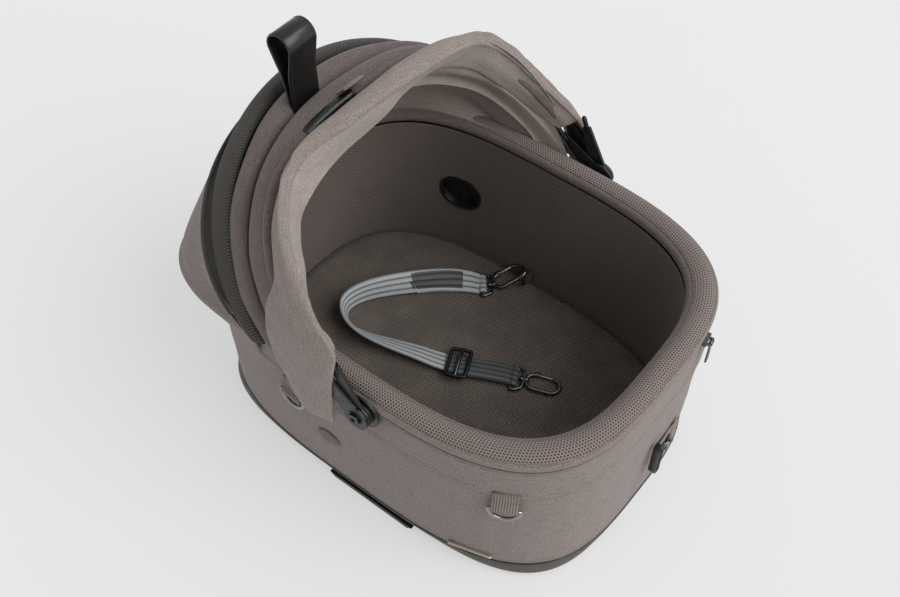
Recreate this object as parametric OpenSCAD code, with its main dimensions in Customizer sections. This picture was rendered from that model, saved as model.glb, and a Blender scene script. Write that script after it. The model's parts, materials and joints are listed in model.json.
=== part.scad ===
// Soft-sided pet carrier tub with a folding canopy, a carry handle and a clip-in leash.
// Frame: +X is the open front end, -Y the left side, +Z up; the floor is at z = 0.

/* [Tub] */
// Length over the zip line
tub_length = 448; // [440:1:456]
// Width over the zip line
tub_width = 351; // [345:1:357]
// Height of the zip line above the floor
rim_height = 191; // [189:0.5:193]
// Roundness of the tub outline: 2 is an ellipse, higher is squarer
outline_power = 3.3; // [3:0.1:3.6]
// How much shorter the shell is at its hem
hem_shrink_x = 3; // [2:0.5:5]
// How much narrower the shell is at its hem
hem_shrink_y = 22; // [18:1:24]

/* [Base] */
// Height of the skids and feet under the tray
foot_height = 5; // [4:0.5:6]
// Height of the visible tray band
tray_height = 13; // [12:0.5:14]

/* [Canopy] */
// Angle of the front bow from the front horizontal, folded back
front_bow_angle = 132; // [131:0.5:133]
// Angle of the carry handle, folded back
handle_angle = 139; // [138.5:0.5:139.5]
// Angle of the middle bow, folded back
mid_bow_angle = 147; // [146:0.5:148]
// Height of the canopy pivots
pivot_height = 189; // [188:0.5:190]
// Distance of the canopy pivots ahead of the tub's middle
pivot_forward = 34; // [32:1:36]

/* [Leash] */
// Width of the leash webbing
leash_width = 25; // [22:1:26]
// Thickness of the leash webbing
leash_thickness = 2; // [1.5:0.1:2.2]

/* [Hidden] */
$fn = 48;

taupe = "#877d76";
dark_mesh = "#3c3a36";
liner_brown = "#554b44";
black_plastic = "#1c1c1c";
gunmetal = "#5b5b5d";
olive_grey = "#504c44";
silver_web = "#6f7373";

rim_a = tub_length / 2;
rim_b = tub_width / 2;
tray_top = foot_height + tray_height;
hem_a = rim_a - hem_shrink_x / 2;
hem_b = rim_b - hem_shrink_y / 2;
shell_top = rim_height - 2;
shell_wall = 3;
ring_steps = 72;
arch_steps = 40;
pin_r = 4;
bore_gap = 0.1;
// Shares of its height between which the front bow bends back
bend_from = 0.33;
bend_to = 0.93;

// ---- outline helpers ----
function signed_power(v, p) = sign(v) * pow(abs(v), p);
function outline(t, a, b, n) = [a * signed_power(cos(t), 2 / n), b * signed_power(sin(t), 2 / n)];
// A point on the outline a given distance outside the zip line, at height z
function rim_point(t, out, z) =
    let (p = outline(t, rim_a + out, rim_b + out, outline_power)) [p[0], p[1], z];
// Half length and half width of the shell's outside at height z
function shell_a(z) = hem_a + (rim_a - hem_a) * (z - tray_top) / (rim_height - tray_top);
function shell_b(z) = hem_b + (rim_b - hem_b) * (z - tray_top) / (rim_height - tray_top);
// A point on the shell's outside, shifted outwards by out
function shell_point(t, out, z) =
    let (p = outline(t, shell_a(z) + out, shell_b(z) + out, outline_power)) [p[0], p[1], z];
// Direction that the shell faces at outline angle t
function facing(t) =
    let (q = 2 - 2 / outline_power)
    atan2(signed_power(sin(t), q) / rim_b, signed_power(cos(t), q) / rim_a);

// Skin over rows of points. Each row is one line along the path; the rows close round the section.
module skin(rows, closed = false) {
    k = len(rows);
    n = len(rows[0]);
    last = closed ? n - 1 : n - 2;
    sides = [
        for (i = [0:k - 1]) for (j = [0:last])
        let (i2 = (i + 1) % k, j2 = (j + 1) % n)
        each [[i * n + j, i2 * n + j, i2 * n + j2], [i * n + j, i2 * n + j2, i * n + j2]]
    ];
    caps = closed ? [] : [
        [for (i = [k - 1:-1:0]) i * n],
        [for (i = [0:k - 1]) i * n + n - 1]
    ];
    polyhedron([for (row = rows) each row], concat(sides, caps));
}

// A closed ring that follows the zip line, from a section of [distance outside, height] corners
module rim_ring(section) {
    corners = len(section);
    skin([
        for (i = [corners - 1:-1:0])
        [for (j = [0:ring_steps - 1]) rim_point(360 * j / ring_steps, section[i][0], section[i][1])]
    ], true);
}

// A solid stack of outlines, from levels of [half length, half width, power, height]
module stack(levels) {
    skin([
        for (i = [ring_steps - 1:-1:0])
        [for (v = levels) let (p = outline(360 * i / ring_steps, v[0], v[1], v[2])) [p[0], p[1], v[3]]]
    ]);
}

// ---- canopy helpers ----
// An arch is [root x, root z, lean angle, radius, power, half width]; u runs 0 to 1 across it.
// A seventh value is how far its lowest part leans away from the rest of it.
function arch_point(a, u) =
    let (
        t = 180 * u,
        height = pow(abs(sin(t)), 2 / a[4]),
        s = min(max((height - bend_from) / (bend_to - bend_from), 0), 1),
        lean = a[2] + (len(a) > 6 ? a[6] * (1 - s * s * (3 - 2 * s)) : 0),
        r = a[3] * height
    )
    [a[0] + r * cos(lean), -a[5] * signed_power(cos(t), 2 / a[4]), a[1] + r * sin(lean)];
// An arch from its root and its highest point
function arch_to(root_x, root_z, top_x, top_z, power, half_width) =
    [root_x, root_z, atan2(top_z - root_z, top_x - root_x), norm([top_x - root_x, top_z - root_z]),
     power, half_width];
// An arch in the plane of a bow that turns on the pivots
function bow_arch(angle, radius, power, half_width) =
    [pivot_forward, pivot_height, angle, radius, power, half_width];
// An even run along an arch that leaves out its lowest part at each end
function trimmed(i, ends) = ends + (1 - 2 * ends) * i / arch_steps;

module arch_skin(arches, ends) {
    skin([for (a = arches) [for (i = [0:arch_steps]) arch_point(a, trimmed(i, ends))]]);
}

// A round tube along an arch
module arch_tube(a, radius, sides, ends) {
    toward = [cos(a[2]), 0, sin(a[2])];
    across = [-sin(a[2]), 0, cos(a[2])];
    function at(i) = arch_point(a, trimmed(i, ends));
    skin([
        for (s = [0:sides - 1])
        [for (i = [0:arch_steps])
            let (
                before = at(max(i - 1, 0)),
                after = at(min(i + 1, arch_steps)),
                run = (after - before) / norm(after - before),
                out = cross(across, run)
            )
            at(i) + radius * (cos(360 * s / sides) * out - sin(360 * s / sides) * across)]
    ]);
}

// Puts a child drawn at the pivot, reaching along +X in its own plane, on the left or right side
module at_pivot(side, y) {
    translate([pivot_forward, side * y, pivot_height]) rotate([90, 0, 0]) children();
}

// Puts a child on the shell: +X is outwards, +Y along the wall
module on_shell(t, out, z) {
    translate(shell_point(t, out, z)) rotate([0, 0, facing(t)]) children();
}

// ---- base ----
base_a = hem_a - 3.5;
base_b = hem_b - 4.5;
base_power = 4;
tray_skin = 3;
skid_from = -26;
skid_to = 66;
skid_y = 152;
skid_width = 22;
screw_x = 150;
screw_y = 90;
board_bottom = tray_top + 1;
board_thick = 4;
board_top = board_bottom + board_thick;
board_inset = 8;

module screw_spots() {
    for (x = [-screw_x, 0, screw_x]) for (y = [-screw_y, screw_y]) translate([x, y, 0]) children();
}

module base_tray() {
    rib = 4;
    rib_reach = 120;
    color(olive_grey) difference() {
        union() {
            difference() {
                stack([
                    [base_a - 3, base_b - 3, base_power, foot_height],
                    [base_a, base_b, base_power, foot_height + 3],
                    [hem_a, hem_b, outline_power, tray_top]
                ]);
                stack([
                    [base_a - 6, base_b - 6, base_power, foot_height + tray_skin],
                    [hem_a - tray_skin, hem_b - tray_skin, outline_power, tray_top + 1]
                ]);
            }
            screw_spots() translate([0, 0, foot_height + 1]) cylinder(h = board_bottom - foot_height - 1, r = 7);
            for (x = [-screw_x / 2, screw_x / 2]) translate([x - rib / 2, -rib_reach, foot_height + 1])
                cube([rib, 2 * rib_reach, board_bottom - foot_height - 1]);
        }
        screw_spots() {
            translate([0, 0, foot_height - 1]) cylinder(h = 4, r = 5);
            translate([0, 0, foot_height]) cylinder(h = 30, r = 2.1);
        }
    }
}

module skid(side) {
    slope = 6;
    color(black_plastic)
        translate([0, side * skid_y + skid_width / 2, 0]) rotate([90, 0, 0]) linear_extrude(skid_width)
        polygon([
            [skid_from - slope, foot_height], [skid_from, 0], [skid_to, 0], [skid_to + slope, foot_height]
        ]);
}

module rubber_feet() {
    foot_x = 165;
    foot_y = 105;
    color("#242424") for (x = [-foot_x, foot_x]) for (y = [-foot_y, foot_y])
        translate([x, y, 0]) cylinder(h = foot_height, r = 9);
}

module tray_screws() {
    color(gunmetal) screw_spots() {
        difference() {
            translate([0, 0, foot_height + 0.6]) cylinder(h = 2.2, r = 4.4);
            translate([0, 0, foot_height]) cylinder(h = 1.6, r = 1.6, $fn = 6);
        }
        translate([0, 0, foot_height + 2.7]) cylinder(h = board_top - foot_height - 3.7, r = 2);
    }
}

module floor_board() {
    color("#2b2a28") difference() {
        translate([0, 0, board_bottom]) linear_extrude(board_thick)
            polygon([for (j = [0:ring_steps - 1]) outline(360 * j / ring_steps, hem_a - board_inset,
                hem_b - board_inset, outline_power)]);
        screw_spots() translate([0, 0, board_bottom - 1]) cylinder(h = board_thick, r = 2.1);
    }
}

// ---- walls ----
liner_top_out = -24;
liner_skin = 2.5;
liner_a_low = 209;
liner_b_low = 146;
liner_power = 3.2;
liner_bottom = board_top + 0.2;
liner_top = rim_height + 0.5;
port_x = -107;
port_z = 108;
port_turn = 10;
port_depth_y = 143;
port_w = 46;
port_h = 38;

module outer_shell() {
    function level(inset, z) = [
        for (j = [0:ring_steps - 1]) shell_point(360 * j / ring_steps, -inset, z)
    ];
    middle = (tray_top + shell_top) / 2;
    color(taupe) difference() {
        skin([
            level(0, tray_top), level(0, middle), level(0, shell_top),
            level(shell_wall, shell_top), level(shell_wall, middle), level(shell_wall, tray_top)
        ], true);
        for (side = [-1, 1]) bracket_stem(side, 0.05);
    }
}

// A stiff board between shell and liner, along part of the outline
module stiffener(from, to) {
    steps = 16;
    low = board_top + 1;
    high = 150;
    board = 2.5;
    inset = 6;
    color("#2b2a28") translate([0, 0, low]) linear_extrude(high - low) polygon(concat(
        [for (j = [0:steps]) outline(from + (to - from) * j / steps, hem_a - inset, hem_b - inset, outline_power)],
        [for (j = [steps:-1:0]) outline(from + (to - from) * j / steps, hem_a - inset - board,
            hem_b - inset - board, outline_power)]
    ));
}

module port_plug(width, height, depth) {
    // A flat-sided oval prism along Y, its middle at the origin
    flat = width - height;
    rotate([90, 0, 0]) linear_extrude(depth, center = true) {
        square([flat, height], center = true);
        for (x = [-flat / 2, flat / 2]) translate([x, 0]) circle(d = height);
    }
}

module at_port(side) {
    translate([port_x, side * port_depth_y, port_z]) rotate([0, 0, side * port_turn]) children();
}

module liner_wall() {
    function level(out, z) = [
        for (j = [0:ring_steps - 1])
        let (
            s = (z - liner_bottom) / (liner_top - liner_bottom),
            a = liner_a_low + (rim_a + liner_top_out - liner_a_low) * s + out,
            b = liner_b_low + (rim_b + liner_top_out - liner_b_low) * s + out,
            p = outline(360 * j / ring_steps, a, b, liner_power)
        )
        [p[0], p[1], z]
    ];
    color(liner_brown) difference() {
        skin([
            level(liner_skin, liner_bottom), level(liner_skin, liner_top),
            level(0, liner_top), level(0, liner_bottom)
        ], true);
        for (side = [-1, 1]) at_port(side) port_plug(port_w, port_h, 16);
    }
}

module floor_mat() {
    low = board_top + 0.2;
    a = liner_a_low - 1;
    b = liner_b_low - 1;
    color(liner_brown) stack([
        [a - 4, b - 4, liner_power, low],
        [a, b, liner_power, low + 3],
        [a - 0.5, b - 0.5, liner_power, low + 6],
        [a - 4, b - 4, liner_power, low + 8.6],
        [a - 12, b - 12, liner_power, low + 10]
    ]);
}

// A black cup sunk in the liner, with a thin bezel
module port(side) {
    cup_wall = 1.5;
    color(black_plastic) at_port(side) difference() {
        union() {
            translate([0, side * 1.7, 0]) port_plug(port_w - 0.4, port_h - 0.4, 7.4);
            translate([0, -side * 2.1, 0]) port_plug(port_w + 4, port_h + 4, 1.4);
        }
        translate([0, -side * 1.1, 0]) port_plug(port_w - 2 * cup_wall, port_h - 2 * cup_wall, 10);
    }
}

// ---- rim ----
module rim_frame() {
    tube_r = 4.3;
    color("#8b8d90") rim_ring([
        for (s = [0:7]) [-9 + tube_r * cos(-45 * s), rim_height + 6 + tube_r * sin(-45 * s)]
    ]);
}

module rim_pad() {
    h = rim_height;
    color("#82766f") rim_ring([
        [0, h + 2], [-3.5, h + 2], [-3.5, h + 8], [-6, h + 11], [-12, h + 11], [-14.5, h + 8],
        [-14.5, h + 1], [-21, h + 1], [-24, h + 5], [-23.2, h + 11], [-18, h + 15.5], [-10, h + 16.5],
        [-3, h + 13], [1.2, h + 7]
    ]);
}

module zip_tape() {
    h = rim_height;
    color("#5f5650") rim_ring([[-0.5, h - 1.8], [-4.2, h - 1.8], [-4.2, h + 1.8], [-0.5, h + 1.8]]);
}

module zip_teeth() {
    h = rim_height;
    color("#9a8f88") rim_ring([[1.5, h - 1.2], [-0.5, h - 1.2], [-0.5, h + 1.2], [1.5, h + 1.2]]);
}

// ---- zip slider and pull ----
slider_t = 12;
slider_length = 12;
pull_z = rim_height - 1;
pull_out = 7.5;
pull_pin_r = 1;

module at_slider(out, z) {
    translate(rim_point(slider_t, 0, z)) rotate([0, 0, facing(slider_t)]) translate([out, 0, 0]) children();
}

module zip_slider() {
    color(gunmetal) {
        at_slider(0, rim_height) rotate([90, 0, 0]) linear_extrude(slider_length, center = true) polygon([
            [1.1, -3.6], [4.8, -3.6], [4.8, 3.6], [1.1, 3.6], [1.1, 1.7], [2, 1.7], [2, -1.7], [1.1, -1.7]
        ]);
        for (y = [-4, 4]) at_slider(4.6, pull_z) translate([1.8, y, 0]) cube([4.2, 1.6, 2.6], center = true);
        at_slider(pull_out, pull_z) rotate([90, 0, 0]) cylinder(h = 9, r = pull_pin_r, center = true);
    }
}

module zip_pull() {
    color(gunmetal) at_slider(pull_out, pull_z) rotate([90, 0, 0])
        linear_extrude(5.6, center = true) difference() {
            union() {
                circle(r = 2);
                translate([-0.9, -27]) square([1.8, 27]);
            }
            circle(r = pull_pin_r + bore_gap);
        }
}

// ---- hubs ----
bracket_y = 178.8;
bracket_thick = 1.8;
mid_arm_y = 180.9;
mid_arm_thick = 2.2;
front_arm_y = 183.4;
front_arm_thick = 3;
handle_arm_y = 186.7;
handle_arm_thick = 3;
washer_y = 189.9;
washer_thick = 0.6;
screw_head_y = 190.6;
hub_r = 13;

// Draws a plate of the given thickness whose inner face is y from the middle
module hub_plate(side, y, thick) {
    at_pivot(side, y + thick / 2) linear_extrude(thick, center = true) children();
}

module bracket_stem(side, extra) {
    stem_w = 20;
    translate([pivot_forward - stem_w / 2 - extra, side > 0 ? 172 : -bracket_y - 0.2, pivot_height - 17 - extra])
        cube([stem_w + 2 * extra, bracket_y + 0.2 - 172, 13 + 2 * extra]);
}

module hub_bracket(side) {
    color(black_plastic) difference() {
        union() {
            hub_plate(side, bracket_y, bracket_thick) circle(r = 18);
            at_pivot(side, (bracket_y + washer_y + washer_thick) / 2)
                cylinder(h = washer_y + washer_thick - bracket_y, r = pin_r, center = true);
            bracket_stem(side, 0);
        }
        at_pivot(side, screw_head_y - 4.2) cylinder(h = 9, r = 2.1, center = true);
    }
}

module hub_screws() {
    color(gunmetal) for (side = [-1, 1]) difference() {
        union() {
            at_pivot(side, screw_head_y + 0.8) cylinder(h = 1.6, r = 6, center = true);
            at_pivot(side, screw_head_y - 3.4) cylinder(h = 7.6, r = 2, center = true);
        }
        at_pivot(side, screw_head_y + 1.4) cylinder(h = 1.6, r = 2.6, center = true, $fn = 6);
    }
}

module spring_washers() {
    color("#a9aaac") for (side = [-1, 1]) hub_plate(side, washer_y - 0.05, washer_thick) difference() {
        circle(r = 7.5);
        circle(r = pin_r + 0.05);
    }
}

// A flat arm outline from the pivot, with the pin's bore, pointing along an angle
module arm_outline(angle, reach, root_r, tip_w) {
    rotate(angle) difference() {
        union() {
            circle(r = root_r);
            polygon([[0, -root_r * 0.8], [reach, -tip_w / 2], [reach, tip_w / 2], [0, root_r * 0.8]]);
        }
        circle(r = pin_r + bore_gap);
    }
}

mid_arch = bow_arch(mid_bow_angle, 202, 2.6, mid_arm_y + mid_arm_thick / 2);
front_root_angle = 114;
front_sweep = front_root_angle - front_bow_angle;
front_arch = concat(bow_arch(front_bow_angle, 199, 3, front_arm_y + front_arm_thick / 2), [front_sweep]);
handle_radius = 213;
handle_arch = bow_arch(handle_angle, handle_radius, 2.8, 187);
bow_r = 2.4;
handle_r = 5.2;
arm_reach = 56;
arm_tip = 9;
handle_reach = 68;
handle_tip = 13;
// How far each bow's tube runs down into its arms
bow_overlap = 6;

module bow_arms(angle, y, thick, reach, tip_w) {
    color(black_plastic) for (side = [-1, 1])
        hub_plate(side, y, thick) arm_outline(angle, reach, hub_r, tip_w);
}

// Share of an arch that lies below a given reach from the pivot
function share_below(a, reach) = asin(pow(reach / a[3], a[4] / 2)) / 180;

module bow(a, radius, reach) {
    color("#3a3a3a") arch_tube(a, radius, 8, share_below(a, reach));
}

module handle_arms() {
    color(black_plastic) for (side = [-1, 1]) {
        hub_plate(side, handle_arm_y, handle_arm_thick) arm_outline(handle_angle, handle_reach, hub_r, handle_tip);
    }
}

module handle_grip() {
    ends = 0.4;
    sleeve = 1.5;
    slip_gap = 0.02;
    color("#232323") difference() {
        arch_tube(handle_arch, handle_r + sleeve, 12, ends);
        arch_tube(handle_arch, handle_r + slip_gap, 8, ends - 0.01);
    }
}

// ---- canopy fabric ----
visor_width = 194;
visor_radius = 213;
// The visor's section, as [lean angle, radius] corners: a top band that turns down into a flap in front
visor_section = [[134.4, 209], [129.5, 209.5], [128.6, 188], [126.6, 188], [126.2, 213], [129, 214.5], [134.4, 213]];
// How much narrower the visor gets for each millimetre inside its radius
visor_taper = 0.35;
visor_ends = 0.045;

module canopy_visor() {
    function band(angle, radius) =
        concat(bow_arch(angle, radius, 3.1, visor_width - (visor_radius - radius) * visor_taper), [front_sweep]);
    color(taupe) arch_skin([for (corner = visor_section) band(corner[0], corner[1])], visor_ends);
}

pleat_arches = [
    arch_to(-12, 200, -133, 315, 2.5, 186.5),
    arch_to(-45, 200, -152, 323, 2.3, 188),
    arch_to(-66, 200, -160, 314, 2.1, 186),
    arch_to(-74, 200, -173, 325, 2.2, 187.5),
    arch_to(-84, 200, -182, 317, 2.2, 186.5)
];
pleat_lining = [
    arch_to(-82, 200, -176, 309, 2.2, 182.5),
    arch_to(-46, 200, -150, 309, 2.3, 182.5),
    arch_to(-16, 200, -131, 309, 2.5, 182.5)
];

module canopy_pleats() {
    color(taupe) arch_skin(concat(pleat_arches, pleat_lining), 0.02);
}

mesh_arches = [
    arch_to(-85.5, 200, -184.5, 315, 2.2, 186),
    arch_to(-93, 200, -202, 317, 2.2, 188),
    arch_to(-103, 200, -212, 303, 2.2, 186),
    arch_to(-101, 200, -205, 300, 2.2, 182.5),
    arch_to(-87, 200, -186, 305, 2.2, 182.5)
];

module canopy_mesh() {
    color(dark_mesh) arch_skin(mesh_arches, 0.02);
}

rear_top = arch_to(-115, 199, -220, 293, 2.2, 186);
rear_bulge = 27;

// A point of the rear panel: u runs across, v from the shell up to the mesh, inset into its thickness
function rear_point(u, v, inset) =
    let (
        t = -104 - 152 * u,
        swell = 8 + rear_bulge * pow(abs(sin(360 * u)), 1.2) * 0.75 + 4 * sin(180 * u),
        low = shell_point(t, 2 - inset, 158),
        side = rim_point(t, swell - inset, 180),
        top_arch = [rear_top[0], rear_top[1], rear_top[2], rear_top[3] - inset, rear_top[4], rear_top[5] - inset],
        top = arch_point(top_arch, 0.03 + 0.94 * u),
        mid = rim_point(t, swell * 0.6 - inset, 214)
    )
    v < 0.5
        ? pow(1 - 2 * v, 2) * low + 4 * v * (1 - 2 * v) * side + 4 * v * v * (side + mid) / 2
        : let (w = 2 * v - 1) pow(1 - w, 2) * (side + mid) / 2 + 2 * w * (1 - w) * mid + w * w * top;

module canopy_rear_panel() {
    levels = [0, 0.2, 0.4, 0.6, 0.8, 1];
    function line(v, inset) = [for (i = [0:arch_steps]) rear_point(i / arch_steps, v, inset)];
    color(taupe) skin(concat(
        [for (v = levels) line(v, 1.8)],
        [for (i = [5:-1:0]) line(levels[i], 0)]
    ));
}

loop_x = -166;
loop_y = -27;
loop_z = 387;
loop_width = 36;

// A leather strap doubled into an upright drop-shaped loop
module grab_loop() {
    lean = 8.5;
    tail_length = 66;
    module drop(r, tail, w) {
        circle(r = r);
        polygon([[-r, 0], [r, 0], [w, -tail], [-w, -tail]]);
    }
    color("#161616") translate([loop_x, loop_y, loop_z]) rotate([90, 0, 0]) rotate(lean)
        linear_extrude(loop_width, center = true) difference() {
            drop(14, tail_length, 2.6);
            drop(11.5, tail_length - 6, 0.6);
        }
}

// A fabric loop that ties the handle to the visor
module keeper_loop() {
    c = [pivot_forward + handle_radius * cos(handle_angle), pivot_height + handle_radius * sin(handle_angle)];
    color(taupe) translate([c[0], 0, c[1]]) rotate([90, 0, 0]) linear_extrude(26, center = true) {
        difference() {
            union() {
                circle(r = 10.2);
                rotate(handle_angle - 86) translate([3, 6.2]) square([14.4, 3.2]);
            }
            circle(r = 8);
        }
    }
}

// ---- rings on webbing tabs ----
ring_wire = 1.9;
ring_bend = 14.4;
ring_bar = 2 * ring_bend;
tab_width = 24;
ring_out = 4.2;
front_ring_t = 53;
rear_ring_t = 96;
front_ring_z = 132;
rear_ring_z = 124;

// A D-shaped ring hanging from its straight bar, which lies along Y
module d_ring() {
    rotate([90, 0, 0]) cylinder(h = ring_bar, r = ring_wire, center = true);
    rotate([0, 90, 0]) rotate([0, 0, -90]) rotate_extrude(angle = 180) translate([ring_bend, 0]) circle(r = ring_wire);
    for (s = [-1, 1]) translate([0, s * ring_bend, 0]) sphere(r = ring_wire);
}

// Webbing folded round the bar of a ring and sewn to the shell
module ring_tab() {
    loop_r = ring_wire + bore_gap;
    rotate([90, 0, 0]) linear_extrude(tab_width, center = true) difference() {
        union() {
            circle(r = loop_r + 1.5);
            translate([-3.5, 0]) square([3, 22]);
        }
        circle(r = loop_r);
    }
}

module ring_tabs() {
    color("#7d7a75") for (s = [-1, 1]) {
        on_shell(s * front_ring_t, ring_out, front_ring_z) ring_tab();
        on_shell(s * rear_ring_t, ring_out, rear_ring_z) ring_tab();
    }
}

module hanging_ring(t, z) {
    color("#a7a8aa") on_shell(t, ring_out, z) d_ring();
}

anchor_x = -11;
anchor_y = 136.5;
anchor_z = 44;
anchor_bend = 9.5;
anchor_wire = 1.5;

// The upright D-ring inside the tub that the leash clips to
module anchor_ring() {
    color("#a7a8aa") translate([anchor_x, anchor_y, anchor_z]) {
        cylinder(h = 2 * anchor_bend, r = anchor_wire, center = true);
        rotate([90, 0, 0]) rotate([0, 0, 90]) rotate_extrude(angle = 180) translate([anchor_bend, 0])
            circle(r = anchor_wire);
        for (s = [-1, 1]) translate([0, 0, s * anchor_bend]) sphere(r = anchor_wire);
    }
}

module anchor_tab() {
    bore = anchor_wire + bore_gap;
    color("#2e2c2a") translate([anchor_x, anchor_y, anchor_z]) linear_extrude(14, center = true) difference() {
        union() {
            circle(r = bore + 1.4);
            translate([0.2, 0]) square([2.6, 9.8]);
        }
        circle(r = bore);
    }
}

// ---- front fittings ----
front_tab_z = 76;

module front_tab() {
    color("#8b8077") on_shell(4.5, 1.4, front_tab_z) cube([2.4, 38, 18], center = true);
}

module front_studs() {
    color(gunmetal) for (y = [-13, -3]) on_shell(4.5, 2.8, front_tab_z) translate([0, y, -1]) rotate([0, 90, 0]) {
        cylinder(h = 2.2, r = 4.6);
        cylinder(h = 5.4, r = 2.6);
    }
}

module pull_loop() {
    color("#161616") on_shell(0.2, 6.6, front_tab_z + 2) rotate([90, 0, 90])
        linear_extrude(8, center = true) difference() {
            union() {
                square([9, 34], center = true);
                for (z = [-17, 17]) translate([0, z]) circle(r = 4.5);
            }
            square([4.4, 34], center = true);
            for (z = [-17, 17]) translate([0, z]) circle(r = 2.2);
        }
}

module badge_bar() {
    color("#b9aea3") on_shell(-64, 0.9, 29) round_ended_bar(44, 5);
}

// A thin bar with round ends, lying along Y
module round_ended_bar(length, height) {
    rotate([0, 90, 0]) linear_extrude(1.6, center = true) {
        square([height, length - height], center = true);
        for (y = [-1, 1]) translate([0, y * (length - height) / 2]) circle(d = height);
    }
}

module oval_patch() {
    color("#7f756e") on_shell(-91.2, 0.9, 83) round_ended_bar(26, 17);
}

// ---- leash ----
mat_top = board_top + 10.2;
// Route of the webbing's middle line: [x, y, how far its upper edge leans up from flat]
leash_route = [
    [-47, 101, 10], [-58, 94, 24], [-72, 83, 38], [-88, 68, 46], [-104, 50, 54], [-119, 31, 62],
    [-131, 12, 70], [-137, -5, 75], [-136, -19, 75], [-127, -29, 70], [-113, -34, 58], [-96, -33, 45],
    [-78, -28, 34], [-58, -21, 25], [-38, -14, 18], [-18, -8, 12], [2, 0, 8], [20, 9, 6], [36, 17, 6], [52, 24, 6]
];

function leash_centre(i) =
    let (p = leash_route[i]) [p[0], p[1], mat_top + 2.2 + leash_width / 2 * sin(p[2])];
leash_last = len(leash_route) - 1;
function leash_run(i) =
    let (d = leash_centre(min(i + 1, leash_last)) - leash_centre(max(i - 1, 0))) d / norm(d);

// Webbing swept along its route, standing or lying as each route point says
module leash_strap() {
    w = leash_width / 2;
    h = leash_thickness / 2;
    corners = [[w, 0], [w - 1, h], [0, h], [1 - w, h], [-w, 0], [1 - w, -h], [0, -h], [w - 1, -h]];
    color(silver_web) skin([
        for (c = corners)
        [for (i = [0:leash_last])
            let (
                run = leash_run(i),
                out = [run[1], -run[0], 0] / norm([run[0], run[1]]),
                lean = leash_route[i][2],
                wide = cos(lean) * out + sin(lean) * [0, 0, 1],
                thick = cross(wide, run)
            )
            leash_centre(i) + c[0] * wide + c[1] * thick]
    ]);
}

snap_z = mat_top + 3.1;
eye_bar = -11;
eye_wire = 1.8;
hook_wire = 2;
hook_bend = 9;
hook_far = 27;
gate_x = 11.7;

module at_eye_a() { translate([-35.5, 110.5, snap_z]) rotate([0, 0, 40]) children(); }
module at_hook_a() { translate([-35.5, 110.5, snap_z]) rotate([0, 0, 64]) rotate([0, -16, 0]) children(); }
module at_eye_b() { translate([66, 29, snap_z]) rotate([0, 0, 24]) children(); }
module at_hook_b() { translate([66, 29, snap_z]) rotate([0, 0, 20]) children(); }

// A straight bar between two points of the XY plane
module bar(from, to, radius) {
    d = to - from;
    translate([from[0], from[1], 0]) rotate([0, 0, atan2(d[1], d[0])]) rotate([0, 90, 0])
        cylinder(h = norm(d), r = radius);
}

// The oblong eye that the webbing folds round
module snap_eye() {
    half = 14.6;
    narrow = 10.2;
    rail = 1.6;
    side_thick = 3;
    front = -3.4;
    rear = eye_bar - 1;
    color(gunmetal) {
        linear_extrude(side_thick, center = true) difference() {
            polygon([
                [rear, -half - rail], [front + rail, -narrow - rail], [front + rail, narrow + rail],
                [rear, half + rail]
            ]);
            polygon([
                [rear - 1, -half + rail], [front - rail, -narrow + rail], [front - rail, narrow - rail],
                [rear - 1, half - rail]
            ]);
        }
        bar([eye_bar, -half], [eye_bar, half], eye_wire);
        translate([front - 2.6, 0, 0]) rotate([0, 90, 0]) cylinder(h = 4.6, r = 2.7);
    }
}

// The oblong hook, open along one side where the gate closes it
module snap_hook() {
    color(gunmetal) {
        translate([-1.1, 0, 0]) rotate([0, 90, 0]) cylinder(h = 3, r = 2.6);
        translate([hook_bend + 1, 0, 0]) rotate([0, 0, 90]) rotate_extrude(angle = 180)
            translate([hook_bend, 0]) circle(r = hook_wire);
        translate([hook_far, 0, 0]) rotate([0, 0, -90]) rotate_extrude(angle = 180)
            translate([hook_bend, 0]) circle(r = hook_wire);
        bar([hook_bend + 1, -hook_bend], [hook_far, -hook_bend], hook_wire);
        for (z = [-2.2, 2.2]) translate([gate_x - 0.6, hook_bend, z]) cube([5.6, 3.2, 0.9], center = true);
        translate([gate_x, hook_bend, 0]) cylinder(h = 5, r = 0.8, center = true);
        translate([hook_bend, hook_bend, 0]) cube([1.4, 3.2, 5], center = true);
    }
}

// The sprung gate, on its pin
module snap_gate() {
    color("#8d8e90") difference() {
        union() {
            translate([gate_x, hook_bend, 0]) cylinder(h = 3, r = 1.5, center = true);
            bar([gate_x + 0.6, hook_bend], [hook_far - 0.5, hook_bend], 1.3);
        }
        translate([gate_x, hook_bend, 0]) cylinder(h = 5, r = 0.8 + 0.08, center = true);
    }
}

module leash_adjuster() {
    half_w = 17;
    half_l = 10;
    bar_r = 1.9;
    color("#38393a") translate([2, 0, mat_top + 8.2]) rotate([0, 0, 24]) {
        for (x = [-half_l, 0, half_l]) bar([x, -half_w], [x, half_w], bar_r);
        for (y = [-half_w, half_w]) bar([-half_l, y], [half_l, y], bar_r);
        for (x = [-half_l, half_l]) for (y = [-half_w, half_w]) translate([x, y, 0]) sphere(r = bar_r);
    }
}

// Where the webbing turns round each eye's bar, and its doubled end under the adjuster
module strap_folds() {
    module turn() {
        translate([eye_bar, 0, 0]) rotate([90, 0, 0]) linear_extrude(leash_width - 1, center = true) difference() {
            circle(r = eye_wire + 1.3);
            circle(r = eye_wire + 0.1);
        }
    }
    color(silver_web) {
        at_eye_a() turn();
        at_eye_b() turn();
        translate([3, 1, mat_top + 0.3]) rotate([0, 0, 24]) translate([0, -leash_width / 2, 0])
            cube([52, leash_width, 1.4]);
    }
}

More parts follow.
